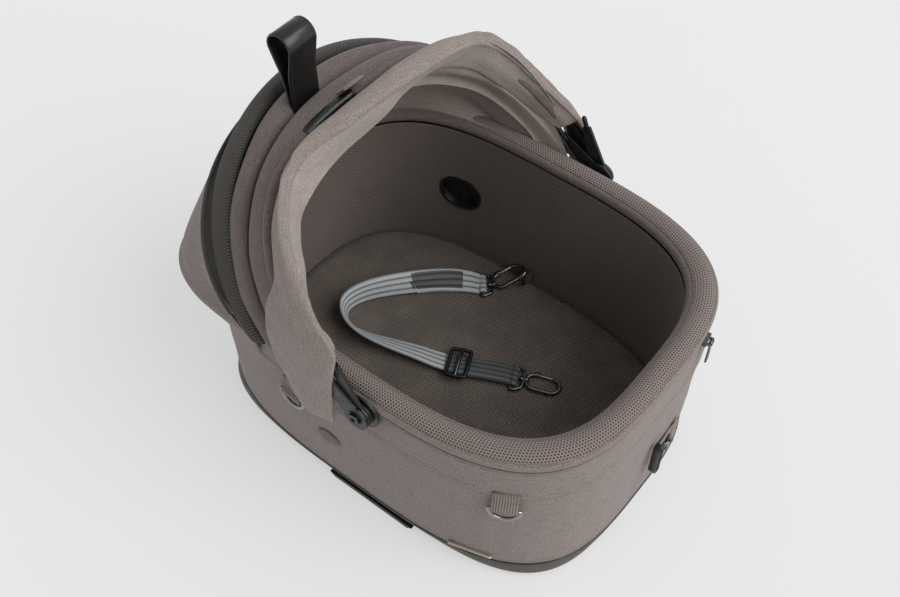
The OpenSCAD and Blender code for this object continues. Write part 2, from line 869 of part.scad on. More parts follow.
base_tray();
skid(-1);  // skid_left
skid(1);  // skid_right
rubber_feet();
tray_screws();
floor_board();
outer_shell();
stiffener(-124, -56);  // side_stiffener_left
stiffener(56, 124);  // side_stiffener_right
stiffener(-48, 48);  // end_stiffener_front
stiffener(132, 228);  // end_stiffener_rear
liner_wall();
floor_mat();
port(-1);  // port_left
port(1);  // port_right
rim_frame();
rim_pad();
zip_tape();
zip_teeth();
hub_bracket(-1);  // hub_bracket_left
hub_bracket(1);  // hub_bracket_right
hub_screws();
spring_washers();
ring_tabs();
anchor_tab();
front_tab();
front_studs();
pull_loop();
badge_bar();
oval_patch();
canopy_rear_panel();
bow(mid_arch, bow_r, arm_reach - bow_overlap);  // mid_bow
bow_arms(mid_bow_angle, mid_arm_y, mid_arm_thick, arm_reach, arm_tip);  // mid_bow_arms
canopy_mesh();
canopy_pleats();
grab_loop();
bow(front_arch, bow_r, arm_reach - bow_overlap);  // front_bow
bow_arms(front_root_angle, front_arm_y, front_arm_thick, arm_reach, arm_tip);  // front_bow_arms
canopy_visor();
keeper_loop();
bow(handle_arch, handle_r, handle_reach - bow_overlap);  // handle_bow
handle_arms();
handle_grip();
hanging_ring(-front_ring_t, front_ring_z);  // d_ring_front_left
hanging_ring(front_ring_t, front_ring_z);  // d_ring_front_right
hanging_ring(-rear_ring_t, rear_ring_z);  // d_ring_rear_left
hanging_ring(rear_ring_t, rear_ring_z);  // d_ring_rear_right
anchor_ring();
zip_slider();
zip_pull();
leash_strap();
leash_adjuster();
strap_folds();
at_eye_a() snap_eye();  // snap_eye_a
at_hook_a() snap_hook();  // snap_hook_a
at_hook_a() snap_gate();  // snap_gate_a
at_eye_b() snap_eye();  // snap_eye_b
at_hook_b() snap_hook();  // snap_hook_b
at_hook_b() snap_gate();  // snap_gate_b
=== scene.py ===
"""The looks of a soft-sided pet carrier tub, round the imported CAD: cloth, hardware and a studio."""

import json
import math

import bmesh
import bpy
import numpy as np
from mathutils import Matrix, Vector, noise


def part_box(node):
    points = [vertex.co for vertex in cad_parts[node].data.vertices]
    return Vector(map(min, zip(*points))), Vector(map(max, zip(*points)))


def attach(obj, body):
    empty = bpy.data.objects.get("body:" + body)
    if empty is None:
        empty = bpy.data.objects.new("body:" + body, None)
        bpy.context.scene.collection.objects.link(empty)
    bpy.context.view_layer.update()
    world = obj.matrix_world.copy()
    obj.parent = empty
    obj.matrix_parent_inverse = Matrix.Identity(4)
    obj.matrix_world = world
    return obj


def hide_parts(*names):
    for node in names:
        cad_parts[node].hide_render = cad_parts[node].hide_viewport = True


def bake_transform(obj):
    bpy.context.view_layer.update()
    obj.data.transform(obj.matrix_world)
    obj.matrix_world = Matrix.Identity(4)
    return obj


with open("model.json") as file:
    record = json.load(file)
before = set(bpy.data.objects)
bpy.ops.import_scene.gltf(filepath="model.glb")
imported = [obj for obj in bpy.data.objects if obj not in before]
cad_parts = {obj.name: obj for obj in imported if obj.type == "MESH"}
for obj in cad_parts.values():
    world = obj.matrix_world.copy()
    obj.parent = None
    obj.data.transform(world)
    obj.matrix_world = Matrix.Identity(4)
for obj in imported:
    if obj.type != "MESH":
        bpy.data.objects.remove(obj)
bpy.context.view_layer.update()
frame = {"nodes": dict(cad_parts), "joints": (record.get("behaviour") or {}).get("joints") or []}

# ---- sizes, in millimetres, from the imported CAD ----
MM = 0.001


def box_mm(node):
    low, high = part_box(node)
    return np.array(low) / MM, np.array(high) / MM


teeth_low, teeth_high = box_mm("zip_teeth")
tray_low, tray_high = box_mm("base_tray")
mat_low, mat_high = box_mm("floor_mat")
joints = {joint["name"]: joint for joint in frame["joints"]}
PIVOT = np.array(joints["canopy_fold"]["pos_m"]) / MM

TOOTH_OUT = 1.5
RIM_A = teeth_high[0] - TOOTH_OUT
RIM_B = teeth_high[1] - TOOTH_OUT
RIM_Z = (teeth_low[2] + teeth_high[2]) / 2
HEM_A, HEM_B = tray_high[0], tray_high[1]
TRAY_TOP = box_mm("outer_shell")[0][2]
FOOT = tray_low[2]
OUTLINE_POWER = 3.3
# The liner's half length and half width at the floor, and how far from the zip line it ends
LINER_POWER = 3.2
LINER_A_LOW, LINER_B_LOW = 209, 146
LINER_LOW = box_mm("liner_wall")[0][2]
LINER_TOP_OUT = -24
MAT_TOP = mat_high[2]
CANOPY_ROOT_Z = 195
HANDLE_ANGLE, HANDLE_RADIUS = 139, 213
# The middle of the far oval port; the near one mirrors it
PORT = (-107, 143, 108)
# Points round a ring of the tub, and along an arch of the canopy
AROUND = 360
ACROSS = 140


# ---- points and paths ----
def signed_power(values, power):
    return np.sign(values) * np.abs(values) ** power


def unit(vectors):
    vectors = np.asarray(vectors, float)
    return vectors / np.maximum(np.linalg.norm(vectors, axis=-1, keepdims=True), 1e-9)


def full_turn(count):
    return np.linspace(0, 2 * np.pi, count + 1)[:-1]


def even(points, count, closed=False):
    """Points at even distances along a line."""
    points = np.asarray(points, float)
    if closed:
        points = np.vstack([points, points[:1]])
    steps = np.linalg.norm(np.diff(points, axis=0), axis=1)
    far = np.concatenate([[0], np.cumsum(steps)])
    wanted = np.linspace(0, far[-1], count + 1)[:-1] if closed else np.linspace(0, far[-1], count)
    return np.stack([np.interp(wanted, far, points[:, k]) for k in range(points.shape[1])], axis=1)


def curve(knots, per_span, closed=False):
    """A Catmull-Rom curve through knots, which may be points or whole rows of points."""
    knots = np.asarray(knots, float)
    count = len(knots)
    made = []
    for i in range(count if closed else count - 1):
        if closed:
            before, a, b, after = (knots[(i + k) % count] for k in (-1, 0, 1, 2))
        else:
            before, a, b, after = (knots[min(max(i + k, 0), count - 1)] for k in (-1, 0, 1, 2))
        for s in np.arange(per_span) / per_span:
            made.append(0.5 * (2 * a + (b - before) * s + (2 * before - 5 * a + 4 * b - after) * s**2
                               + (3 * a - before - 3 * b + after) * s**3))
    if not closed:
        made.append(knots[-1])
    return np.array(made)


def superellipse(a, b, power, z, count=AROUND):
    """Even points round an outline of half length a and half width b; a power of 2 is an ellipse."""
    angles = full_turn(4000)
    x = a * signed_power(np.cos(angles), 2 / power)
    y = b * signed_power(np.sin(angles), 2 / power)
    return even(np.stack([x, y, np.full_like(x, z)], axis=1), count, closed=True)


def rim_ring(out, up, count=AROUND):
    """A ring that follows the zip line, out from it and up from its height."""
    return superellipse(RIM_A + out, RIM_B + out, OUTLINE_POWER, RIM_Z + up, count)


def shell_half(z):
    """Half the shell's length and width at a height."""
    share = (z - TRAY_TOP) / (RIM_Z - TRAY_TOP)
    return HEM_A + (RIM_A - HEM_A) * share, HEM_B + (RIM_B - HEM_B) * share


def shell_ring(out, z, count=AROUND):
    """A ring round the shell at a height, out from its surface."""
    a, b = shell_half(z)
    return superellipse(a + out, b + out, OUTLINE_POWER, z, count)


def on_shell(degrees, out, z):
    """A place on the shell at an outline angle: its +X is outwards, +Y along the wall and +Z up."""
    a, b = shell_half(z)
    t = math.radians(degrees)
    share = 2 - 2 / OUTLINE_POWER
    facing = math.atan2(float(signed_power(math.sin(t), share)) / RIM_B,
                        float(signed_power(math.cos(t), share)) / RIM_A)
    x = (a + out) * float(signed_power(math.cos(t), 2 / OUTLINE_POWER))
    y = (b + out) * float(signed_power(math.sin(t), 2 / OUTLINE_POWER))
    return Matrix.Translation((x, y, z)) @ Matrix.Rotation(facing, 4, "Z")


def placed(matrix, points):
    return np.array([matrix @ Vector(p) for p in points])


def arch(root_x, top_x, top_z, power, half_width, root_z=CANOPY_ROOT_Z, count=ACROSS, trim=0.0):
    """A bow line across the tub, from the near side to the far side, leaning back from its roots."""
    t = np.linspace(0, np.pi, 2001)
    height = np.abs(np.sin(t)) ** (2 / power)
    x = root_x + (top_x - root_x) * height
    y = -half_width * signed_power(np.cos(t), 2 / power)
    z = root_z + (top_z - root_z) * height
    points = even(np.stack([x, y, z], axis=1), 1001)
    cut = int(trim * 1000)
    return even(points[cut:1001 - cut], count)


def leaning(degrees):
    """The direction away from the pivots of a bow at an angle, where 90 is straight up."""
    return np.array([math.cos(math.radians(degrees)), 0, math.sin(math.radians(degrees))])


def bow(degrees, radius, power, half_width, count):
    """An arch in the plane of a bow that turns on the pivots."""
    top = PIVOT + radius * leaning(degrees)
    return arch(PIVOT[0], top[0], top[2], power, half_width, PIVOT[2], count)


def ripple(point, size, seed=0.0):
    """Smooth noise from -1 to 1 whose bumps are about size millimetres long."""
    return noise.noise(Vector(point) / size + Vector((seed, seed * 0.7, -seed)))


def push(rows, amount):
    """Moves each point of a sheet along its own normal, by amount(row, point)."""
    rows = np.array(rows, float)
    along = np.gradient(rows, axis=1)
    up = np.gradient(rows, axis=0)
    normal = unit(np.cross(along, up))
    shifts = np.array([[amount(i, point) for point in row] for i, row in enumerate(rows)])
    return rows + normal * shifts[..., None]


# ---- meshes ----
def make_object(name, vertices, faces, material, uvs=None):
    mesh = bpy.data.meshes.new(name)
    mesh.from_pydata((np.asarray(vertices) * MM).tolist(), [], faces)
    if uvs is not None:
        layer = mesh.uv_layers.new(name="metres")
        layer.data.foreach_set("uv", (np.asarray(uvs, float) * MM).ravel())
    mesh.polygons.foreach_set("use_smooth", [True] * len(mesh.polygons))
    mesh.materials.append(material)
    made = bpy.data.objects.new(name, mesh)
    bpy.context.scene.collection.objects.link(made)
    return made


def grid(name, rows, material, close_rows=False, close_across=False, v_values=None):
    """A sheet over rows of points. Its UVs are lengths on the sheet, so that weaves keep their size."""
    rows = np.asarray(rows, float)
    count, width = rows.shape[:2]
    spread = np.concatenate([rows, rows[:, :1]], axis=1) if close_across else rows
    spread = np.concatenate([spread, spread[:1]], axis=0) if close_rows else spread
    u = np.zeros(spread.shape[:2])
    v = np.zeros(spread.shape[:2])
    u[:, 1:] = np.cumsum(np.linalg.norm(np.diff(spread, axis=1), axis=2), axis=1)
    v[1:] = np.cumsum(np.linalg.norm(np.diff(spread, axis=0), axis=2), axis=0)
    if close_across:
        u[:] = u[count // 2]
    else:
        u -= u[:, width // 2][:, None]
    if v_values is not None:
        v[:] = np.asarray(v_values, float)[:, None]
    faces, uvs = [], []
    for i in range(count if close_rows else count - 1):
        for j in range(width if close_across else width - 1):
            i2, j2 = (i + 1) % count, (j + 1) % width
            faces.append((i * width + j, i * width + j2, i2 * width + j2, i2 * width + j))
            corners = ((i, j), (i, j + 1), (i + 1, j + 1), (i + 1, j))
            uvs += [(u[corner], v[corner]) for corner in corners]
    return make_object(name, rows.reshape(-1, 3), faces, material, uvs)


def bake(made):
    """Turns an object's modifiers into its own mesh."""
    graph = bpy.context.evaluated_depsgraph_get()
    mesh = bpy.data.meshes.new_from_object(made.evaluated_get(graph), depsgraph=graph)
    made.modifiers.clear()
    made.data = mesh
    return made


def thicken(made, thickness, offset=0.0):
    """Gives a sheet its thickness in millimetres. An offset of 0 puts half on each side."""
    solid = made.modifiers.new("thickness", "SOLIDIFY")
    solid.thickness = thickness * MM
    solid.offset = offset
    return bake(made)


def along_path(path, closed):
    """The direction of a path at each of its points."""
    if closed:
        return unit(np.roll(path, -1, 0) - np.roll(path, 1, 0))
    return unit(np.gradient(path, axis=0))


def tube(name, path, radius, material, closed=False, sides=16, flat=1.0):
    """A round bar along a path, with rounded ends where it is open."""
    path = np.asarray(path, float)
    radii = np.full(len(path), float(radius)) if np.isscalar(radius) else np.asarray(radius, float)
    if not closed:
        first, last = unit(path[0] - path[1]), unit(path[-1] - path[-2])
        bends = np.radians([88, 60, 30])
        start = [path[0] + first * radii[0] * math.sin(b) for b in bends]
        end = [path[-1] + last * radii[-1] * math.sin(b) for b in bends[::-1]]
        radii = np.concatenate([radii[0] * np.cos(bends), radii, radii[-1] * np.cos(bends[::-1])])
        path = np.vstack([start, path, end])
    run = along_path(path, closed)
    side = np.cross(run[0], [0, 0, 1.0])
    if np.linalg.norm(side) < 0.1:
        side = np.cross(run[0], [1.0, 0, 0])
    rows = []
    for i, point in enumerate(path):
        side = unit(side - run[i] * (side @ run[i]))
        up = np.cross(run[i], side)
        rows.append([point + radii[i] * (math.cos(a) * side + flat * math.sin(a) * up)
                     for a in full_turn(sides)])
    return grid(name, rows, material, close_rows=closed, close_across=True)


def ribbon(name, centres, wides, width, thickness, material, closed=False):
    """A strap along a path. wides gives the direction of its width at each point."""
    centres, wides = np.asarray(centres, float), unit(wides)
    thick = unit(np.cross(wides, along_path(centres, closed)))
    w, h = width / 2, thickness / 2
    edge = min(h, w * 0.2)
    corner = (w - edge * 0.3, h * 0.7)
    section = [
        (-w, 0), (-corner[0], corner[1]), (-w + edge, h), (0, h), (w - edge, h), corner,
        (w, 0), (corner[0], -corner[1]), (w - edge, -h), (0, -h), (-w + edge, -h), (-corner[0], -corner[1]),
    ]
    rows = [centres + across * wides + up * thick for across, up in section]
    made = grid(name, rows, material, close_rows=True, close_across=closed,
                v_values=[across for across, up in section] + [-w])
    if not closed:
        cap_ends(made)
    return made


def cap_ends(made):
    """Closes the open ends of a mesh."""
    shape = bmesh.new()
    shape.from_mesh(made.data)
    bmesh.ops.holes_fill(shape, edges=[e for e in shape.edges if e.is_boundary])
    shape.to_mesh(made.data)
    shape.free()


def face_outwards(made):
    shape = bmesh.new()
    shape.from_mesh(made.data)
    bmesh.ops.recalc_face_normals(shape, faces=shape.faces)
    shape.to_mesh(made.data)
    shape.free()


def stitches(name, path, normals, material, pitch=3.4, length=2.3, radius=0.34, closed=False,
             lift=0.15):
    """A row of separate thread stitches along a path, lying on a surface with the given normals."""
    path = np.asarray(path, float)
    normals = np.broadcast_to(unit(normals), path.shape)
    total = np.linalg.norm(np.diff(path, axis=0), axis=1).sum()
    count = max(int(total / pitch), 2)
    both = even(np.hstack([path, normals]), count, closed)
    centres, out = both[:, :3], unit(both[:, 3:])
    run = unit(np.roll(centres, -1, 0) - centres) if closed else unit(np.gradient(centres, axis=0))
    side = np.cross(run, out)
    vertices, faces = [], []
    for c, n, d, s in zip(centres + out * lift, out, run, side):
        k = len(vertices)
        vertices += [c - d * length / 2, c + d * length / 2]
        vertices += [c + n * radius, c - n * radius, c + s * radius, c - s * radius]
        faces += [(k, k + 2, k + 4), (k, k + 4, k + 3), (k, k + 3, k + 5), (k, k + 5, k + 2)]
        faces += [(k + 1, k + 4, k + 2), (k + 1, k + 3, k + 4), (k + 1, k + 5, k + 3), (k + 1, k + 2, k + 5)]
    return make_object(name, vertices, faces, material)


def on_body(made, body, stands_for=()):
    """Fixes a piece to a body, in place of the CAD nodes it stands for."""
    if stands_for:
        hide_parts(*stands_for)
    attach(made, body)
    return made


def hoop(name, rows, material, stands_for=()):
    """A closed band round the tub."""
    return on_body(grid(name, rows, material, close_across=True), "tub", stands_for)


def bending(made, a, b, start, end, slot=None, stands_for=()):
    """Hides the CAD nodes that a piece stands for and bakes its transform into its mesh. The bodies a and b
    and the places start and end are not used.
    """
    if stands_for:
        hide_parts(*stands_for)
    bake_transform(made)
    return made


# ---- materials ----
def srgb(*levels):
    """A colour given as 0-255 levels on a screen."""
    linear = [(v / 255 / 12.92) if v <= 10 else ((v / 255 + 0.055) / 1.055) ** 2.4 for v in levels]
    return (*linear, 1.0)


class Paint:
    """One material, and short ways to add nodes to it."""

    def __init__(self, name, color, roughness, metallic=0.0, sheen=0.0, coat=0.0):
        self.material = bpy.data.materials.new(name)
        self.material.use_nodes = True
        self.tree = self.material.node_tree
        self.surface = self.tree.nodes["Principled BSDF"]
        self.surface.inputs["Base Color"].default_value = color
        self.surface.inputs["Roughness"].default_value = roughness
        self.surface.inputs["Metallic"].default_value = metallic
        self.surface.inputs["Sheen Weight"].default_value = sheen
        self.surface.inputs["Coat Weight"].default_value = coat

    def node(self, kind, inputs, **settings):
        made = self.tree.nodes.new(kind)
        for key, value in settings.items():
            setattr(made, key, value)
        for key, value in inputs.items():
            if isinstance(value, bpy.types.NodeSocket):
                self.tree.links.new(value, made.inputs[key])
            else:
                made.inputs[key].default_value = value
        return made

    def math(self, operation, a, b=0.0):
        return self.node("ShaderNodeMath", {0: a, 1: b}, operation=operation).outputs[0]

    def where(self, source="UV", turn=0.0):
        """Sockets for position in millimetres: UV across the sheet, or Object in the row frame."""
        place = self.node("ShaderNodeTexCoord", {}).outputs[source]
        turned = self.node(
            "ShaderNodeMapping", {"Vector": place, "Rotation": (0, 0, turn), "Scale": (1000,) * 3})
        parts = self.node("ShaderNodeSeparateXYZ", {0: turned.outputs[0]})
        return parts.outputs[0], parts.outputs[1], parts.outputs[2]

    def noise(self, u, v, w, size_u, size_v, size_w=10.0, detail=2.0):
        scaled = [self.math("DIVIDE", axis, size) for axis, size in ((u, size_u), (v, size_v), (w, size_w))]
        spot = self.node("ShaderNodeCombineXYZ", dict(enumerate(scaled))).outputs[0]
        return self.node("ShaderNodeTexNoise", {"Vector": spot, "Scale": 1.0, "Detail": detail}).outputs[0]

    def spread(self, value, low, high, to_low=0.0, to_high=1.0):
        """Maps low..high to to_low..to_high, smoothly, and holds the ends."""
        ends = {"Value": value, "From Min": low, "From Max": high, "To Min": to_low, "To Max": to_high}
        return self.node("ShaderNodeMapRange", ends, interpolation_type="SMOOTHSTEP").outputs[0]

    def cells(self, u, v, pitch_u, pitch_v):
        """Distances in millimetres from the middle of each cell, where odd rows are shifted by half."""
        row = self.math("DIVIDE", v, pitch_v)
        shift = self.math("MULTIPLY", self.math("MODULO", self.math("FLOOR", row), 2.0), 0.5)
        column = self.math("ADD", self.math("DIVIDE", u, pitch_u), shift)
        du = self.math("SUBTRACT", self.math("FRACT", column), 0.5)
        dv = self.math("SUBTRACT", self.math("FRACT", row), 0.5)
        return self.math("MULTIPLY", du, pitch_u), self.math("MULTIPLY", dv, pitch_v)

    def dots(self, u, v, pitch_u, pitch_v, radius, soft=0.25):
        du, dv = self.cells(u, v, pitch_u, pitch_v)
        squares = self.math("MULTIPLY", du, du), self.math("MULTIPLY", dv, dv)
        far = self.math("SQRT", self.math("ADD", *squares))
        return self.spread(far, radius - soft, radius + soft, 1.0, 0.0)

    def dashes(self, u, v, pitch_u, pitch_v, half_u, half_v, soft=0.3):
        du, dv = self.cells(u, v, pitch_u, pitch_v)
        inside_u = self.spread(self.math("ABSOLUTE", du), half_u - soft, half_u + soft, 1.0, 0.0)
        inside_v = self.spread(self.math("ABSOLUTE", dv), half_v - soft, half_v + soft, 1.0, 0.0)
        return self.math("MULTIPLY", inside_u, inside_v)

    def mixed(self, share, a, b):
        made = self.node("ShaderNodeMix", {0: share, 6: a, 7: b}, data_type="RGBA")
        return made.outputs[2]

    def color(self, socket):
        self.tree.links.new(socket, self.surface.inputs["Base Color"])

    def bump(self, height, distance):
        made = self.node("ShaderNodeBump", {"Height": height, "Distance": distance * MM, "Strength": 1.0})
        self.tree.links.new(made.outputs[0], self.surface.inputs["Normal"])


def heathered(name, dark, light, source="UV"):
    """Woven melange cloth: fine crossing streaks of two shades."""
    paint = Paint(name, srgb(*light), 0.95, sheen=0.15)
    u, v, w = paint.where(source)
    along = paint.noise(u, v, w, 2.6, 0.45, 3.0)
    across = paint.noise(u, v, w, 0.45, 2.2, 3.0)
    slub = paint.noise(u, v, w, 14.0, 1.4, 8.0)
    threads = paint.math("ADD", paint.math("MULTIPLY", along, 0.5), paint.math("MULTIPLY", across, 0.3))
    threads = paint.math("ADD", threads, paint.math("MULTIPLY", slub, 0.2))
    paint.color(paint.mixed(paint.spread(threads, 0.38, 0.62), srgb(*dark), srgb(*light)))
    paint.bump(threads, 0.35)
    return paint.material


def dotted(name, ground, spot, pitch_u, pitch_v, radius, turn=0.0, depth=0.6, raised=False):
    """Knitted spacer mesh: round spots in offset rows, sunk or raised."""
    paint = Paint(name, srgb(*ground), 0.95, sheen=0.1)
    u, v, w = paint.where("UV", turn)
    spots = paint.dots(u, v, pitch_u, pitch_v, radius)
    yarn = paint.noise(u, v, w, 0.7, 0.7, 1.0)
    shade = paint.math("MULTIPLY", spots, paint.spread(yarn, 0.3, 0.7, 0.75, 1.0))
    paint.color(paint.mixed(shade, srgb(*ground), srgb(*spot)))
    paint.bump(spots if raised else paint.math("SUBTRACT", 1.0, spots), depth)
    return paint.material


def woven_straps(name, dark, light, lane, roughness):
    """Webbing: lanes along the strap, lane millimetres wide, and fine ribs across it."""
    paint = Paint(name, srgb(*light), roughness, sheen=0.1)
    u, v, w = paint.where("UV")
    wave = paint.math("ABSOLUTE", paint.math("SINE", paint.math("MULTIPLY", v, math.pi / lane)))
    rib_pitch = 0.9
    ribs = paint.math("SINE", paint.math("MULTIPLY", u, 2 * math.pi / rib_pitch))
    threads = paint.noise(u, v, w, 3.0, 0.4)
    shade = paint.math("MULTIPLY", wave, paint.spread(threads, 0.2, 0.8, 0.7, 1.0))
    paint.color(paint.mixed(paint.spread(shade, 0.1, 0.8), srgb(*dark), srgb(*light)))
    paint.bump(paint.math("ADD", wave, paint.math("MULTIPLY", ribs, 0.12)), 0.5)
    return paint.material


def grained(name, color, roughness, grain, depth, metallic=0.0, coat=0.0):
    """Moulded plastic, leather or cast metal: one colour with a fine grain."""
    paint = Paint(name, srgb(*color), roughness, metallic, coat=coat)
    u, v, w = paint.where("Object")
    fine = paint.noise(u, v, w, grain, grain, grain, 4.0)
    patches = paint.noise(u, v, w, 18.0, 18.0, 18.0)
    low, high = max(roughness - 0.06, 0.05), min(roughness + 0.08, 1.0)
    paint.tree.links.new(paint.spread(patches, 0.3, 0.7, low, high), paint.surface.inputs["Roughness"])
    paint.bump(fine, depth)
    return paint.material


def floor_weave():
    """The mat's weave: pale dashes in offset rows, turned across the mat."""
    paint = Paint("mat_weave", srgb(96, 86, 78), 0.95, sheen=0.1)
    u, v, w = paint.where("Object", math.radians(-62))
    dash = paint.dashes(u, v, 3.9, 1.75, 1.15, 0.5, 0.25)
    cross = paint.noise(u, v, w, 0.5, 1.6)
    tone = paint.noise(u, v, w, 30.0, 30.0)
    shade = paint.math("MULTIPLY", dash, paint.spread(tone, 0.3, 0.7, 0.55, 1.0))
    ground = paint.mixed(paint.spread(cross, 0.35, 0.65), srgb(62, 55, 51), srgb(88, 79, 73))
    paint.color(paint.mixed(shade, ground, srgb(146, 135, 124)))
    paint.bump(paint.math("ADD", dash, paint.math("MULTIPLY", cross, 0.4)), 0.6)
    return paint.material


# The colours are levels on a screen, from 0 to 255
SHELL = heathered("shell_cloth", (96, 86, 83), (146, 133, 127))
# The pleats' cloth: a darker copy of the shell cloth, with painted shade
PLEATS_PAINTED_SHADE = heathered("pleat_cloth_painted_shade", (78, 69, 67), (118, 106, 103))
# The visor's cloth: a lighter copy of the shell cloth, with painted light where the visor faces the light
VISOR_PAINTED_LIGHT = heathered("visor_cloth_painted_light", (108, 98, 93), (154, 142, 135))
# A darker copy of the shell cloth: painted shade on the handle sleeves and the rim's inner roll; the oval
# patch is also made of it
SHELL_SHADE_AND_PATCH = heathered("shell_shade_and_patch_cloth", (80, 71, 68), (122, 110, 105))
LINING = heathered("lining_cloth", (128, 118, 111), (164, 153, 145))
TABS = woven_straps("tab_webbing", (92, 86, 80), (136, 127, 118), 2.4, 0.85)
LEASH = woven_straps("leash_webbing", (112, 115, 117), (186, 190, 192), 6.2, 0.32)
LEASH_DARK = woven_straps("leash_doubled", (52, 53, 54), (88, 91, 93), 6.2, 0.42)
HOOD_MESH = dotted("hood_mesh", (52, 49, 46), (104, 99, 93), 2.6, 1.5, 0.55, raised=True)
RIM_MESH = dotted("rim_mesh", (134, 121, 116), (44, 38, 36), 2.9, 2.5, 0.84)
LINER = dotted("liner_mesh", (122, 110, 102), (34, 29, 27), 2.4, 1.6, 0.66, math.radians(24), 0.5)
MAT = floor_weave()
PIPING = heathered("dark_piping", (52, 48, 45), (74, 69, 65))
THREAD = heathered("sewing_thread", (96, 88, 82), (132, 122, 113), "Object")
PALE_THREAD = heathered("pale_thread", (150, 140, 130), (182, 172, 161), "Object")
DARK_THREAD = heathered("dark_thread", (46, 44, 43), (66, 63, 61), "Object")
TAPE = heathered("zip_tape_cloth", (46, 42, 39), (70, 64, 59))
COIL = grained("zip_coil_nylon", (140, 130, 122), 0.5, 0.5, 0.05)
BLACK = grained("black_plastic", (22, 22, 22), 0.38, 0.4, 0.05)
RUBBER = grained("rubber_pad", (36, 36, 36), 0.85, 0.6, 0.08)
TRAY = grained("tray_plastic", (82, 78, 69), 0.55, 0.5, 0.06)
LEATHER = grained("black_leather", (18, 17, 17), 0.34, 0.9, 0.12, coat=0.15)
STEEL = grained("bright_steel", (150, 147, 144), 0.24, 0.6, 0.01, metallic=1.0)
GUNMETAL = grained("dark_metal", (104, 105, 108), 0.3, 0.5, 0.02, metallic=1.0)
DARK_METAL = grained("black_metal", (62, 62, 64), 0.34, 0.5, 0.02, metallic=1.0)
PEWTER = grained("badge_metal", (190, 180, 168), 0.35, 0.5, 0.02, metallic=0.9)
BOARD = grained("backing_board", (52, 50, 48), 0.9, 1.2, 0.1)

# ---- camera ----
# Fitted to the photo: where the camera stands round and above the tub, its roll, its aim and its distance
AZIMUTH, ELEVATION, ROLL = np.radians([36.74, 50.25, 1.6])
AIM = Vector((20.8, -42.9, 199.1))
DISTANCE = 1080
level = math.cos(ELEVATION)
back = Vector((math.sin(AZIMUTH) * level, -math.cos(AZIMUTH) * level, math.sin(ELEVATION)))
right = Vector((math.cos(AZIMUTH), math.sin(AZIMUTH), 0))
up = back.cross(right)
rolled_right = right * math.cos(ROLL) + up * math.sin(ROLL)
rolled_up = up * math.cos(ROLL) - right * math.sin(ROLL)
turned = Matrix((rolled_right, rolled_up, back)).transposed().to_4x4()
lens = bpy.data.cameras.new("camera")
lens.lens = 47.94
lens.sensor_width = 36
lens.clip_start = 0.05
camera = bpy.data.objects.new("camera", lens)
camera.matrix_world = Matrix.Translation((AIM + back * DISTANCE) * MM) @ turned
bpy.context.scene.collection.objects.link(camera)
bpy.context.scene.camera = camera


# ---- studio ----
def soft_light(name, place, size, power):
    """A round area light that faces the tub. Its place and size are in metres."""
    light = bpy.data.lights.new(name, "AREA")
    light.shape = "DISK"
    light.size = size
    light.energy = power
    made = bpy.data.objects.new(name, light)
    made.location = place
    aim = Vector((0, 0, 0.15)) - Vector(place)
    made.rotation_euler = aim.to_track_quat("-Z", "Y").to_euler()
    bpy.context.scene.collection.objects.link(made)


def studio():
    """A pale floor that glows a little, as the photo's backdrop does, and soft light from the front."""
    scene = bpy.context.scene
    scene.view_settings.view_transform = "Standard"
    world = bpy.data.worlds.new("studio")
    world.use_nodes = True
    world.node_tree.nodes["Background"].inputs["Color"].default_value = (0.93, 0.94, 0.96, 1)
    world.node_tree.nodes["Background"].inputs["Strength"].default_value = 0.62
    scene.world = world
    sun = bpy.data.lights.new("key", "SUN")
    sun.energy = 1.9
    sun.angle = math.radians(50)
    key = bpy.data.objects.new("key", sun)
    key.rotation_euler = Vector((-1.3, -0.2, -1.15)).to_track_quat("-Z", "Y").to_euler()
    scene.collection.objects.link(key)
    soft_light("gloss", (0.5, 0.9, 1.5), 0.5, 2.5)
    paper = Paint("paper", (0.3, 0.3, 0.3, 1), 0.9)
    paper.surface.inputs["Emission Color"].default_value = (1, 1, 1, 1)
    paper.surface.inputs["Emission Strength"].default_value = 0.5
    reach = 8000
    corners = [(-reach, -reach, 0), (reach, -reach, 0), (reach, reach, 0), (-reach, reach, 0)]
    floor = make_object("floor", corners, [(0, 1, 2, 3)], paper.material)
    floor.location = (0, 0, -0.0004)


# ---- leash ----
# Where the webbing's middle line runs, and how far its upper edge leans up from flat, in degrees
LEASH_ROUTE = [
    (-47, 101, 10), (-58, 94, 24), (-72, 83, 38), (-88, 68, 46), (-104, 50, 54), (-119, 31, 62),
    (-131, 12, 70), (-137, -5, 75), (-136, -19, 75), (-127, -29, 70), (-113, -34, 58), (-96, -33, 45),
    (-78, -28, 34), (-58, -21, 25), (-38, -14, 18), (-18, -8, 12), (2, 0, 8), (20, 9, 6), (36, 17, 6),
    (52, 24, 6),
]
LEASH_WIDTH = 25
SNAP_Z = MAT_TOP + 3.1
EYE_BAR = -11


def turned_by(degrees, axis="Z"):
    return Matrix.Rotation(math.radians(degrees), 4, axis)


SNAP_A = Matrix.Translation((-35.5, 110.5, SNAP_Z))
SNAP_B = Matrix.Translation((66, 29, SNAP_Z))
EYE_A, HOOK_A = SNAP_A @ turned_by(40), SNAP_A @ turned_by(64) @ turned_by(-16, "Y")
EYE_B, HOOK_B = SNAP_B @ turned_by(24), SNAP_B @ turned_by(20)


def arc(centre, radius, start, end, steps=12):
    """Points of a circle's arc between two angles, lying flat."""
    turns = np.radians(np.linspace(start, end, steps))
    return [(centre[0] + radius * math.cos(a), centre[1] + radius * math.sin(a), 0) for a in turns]


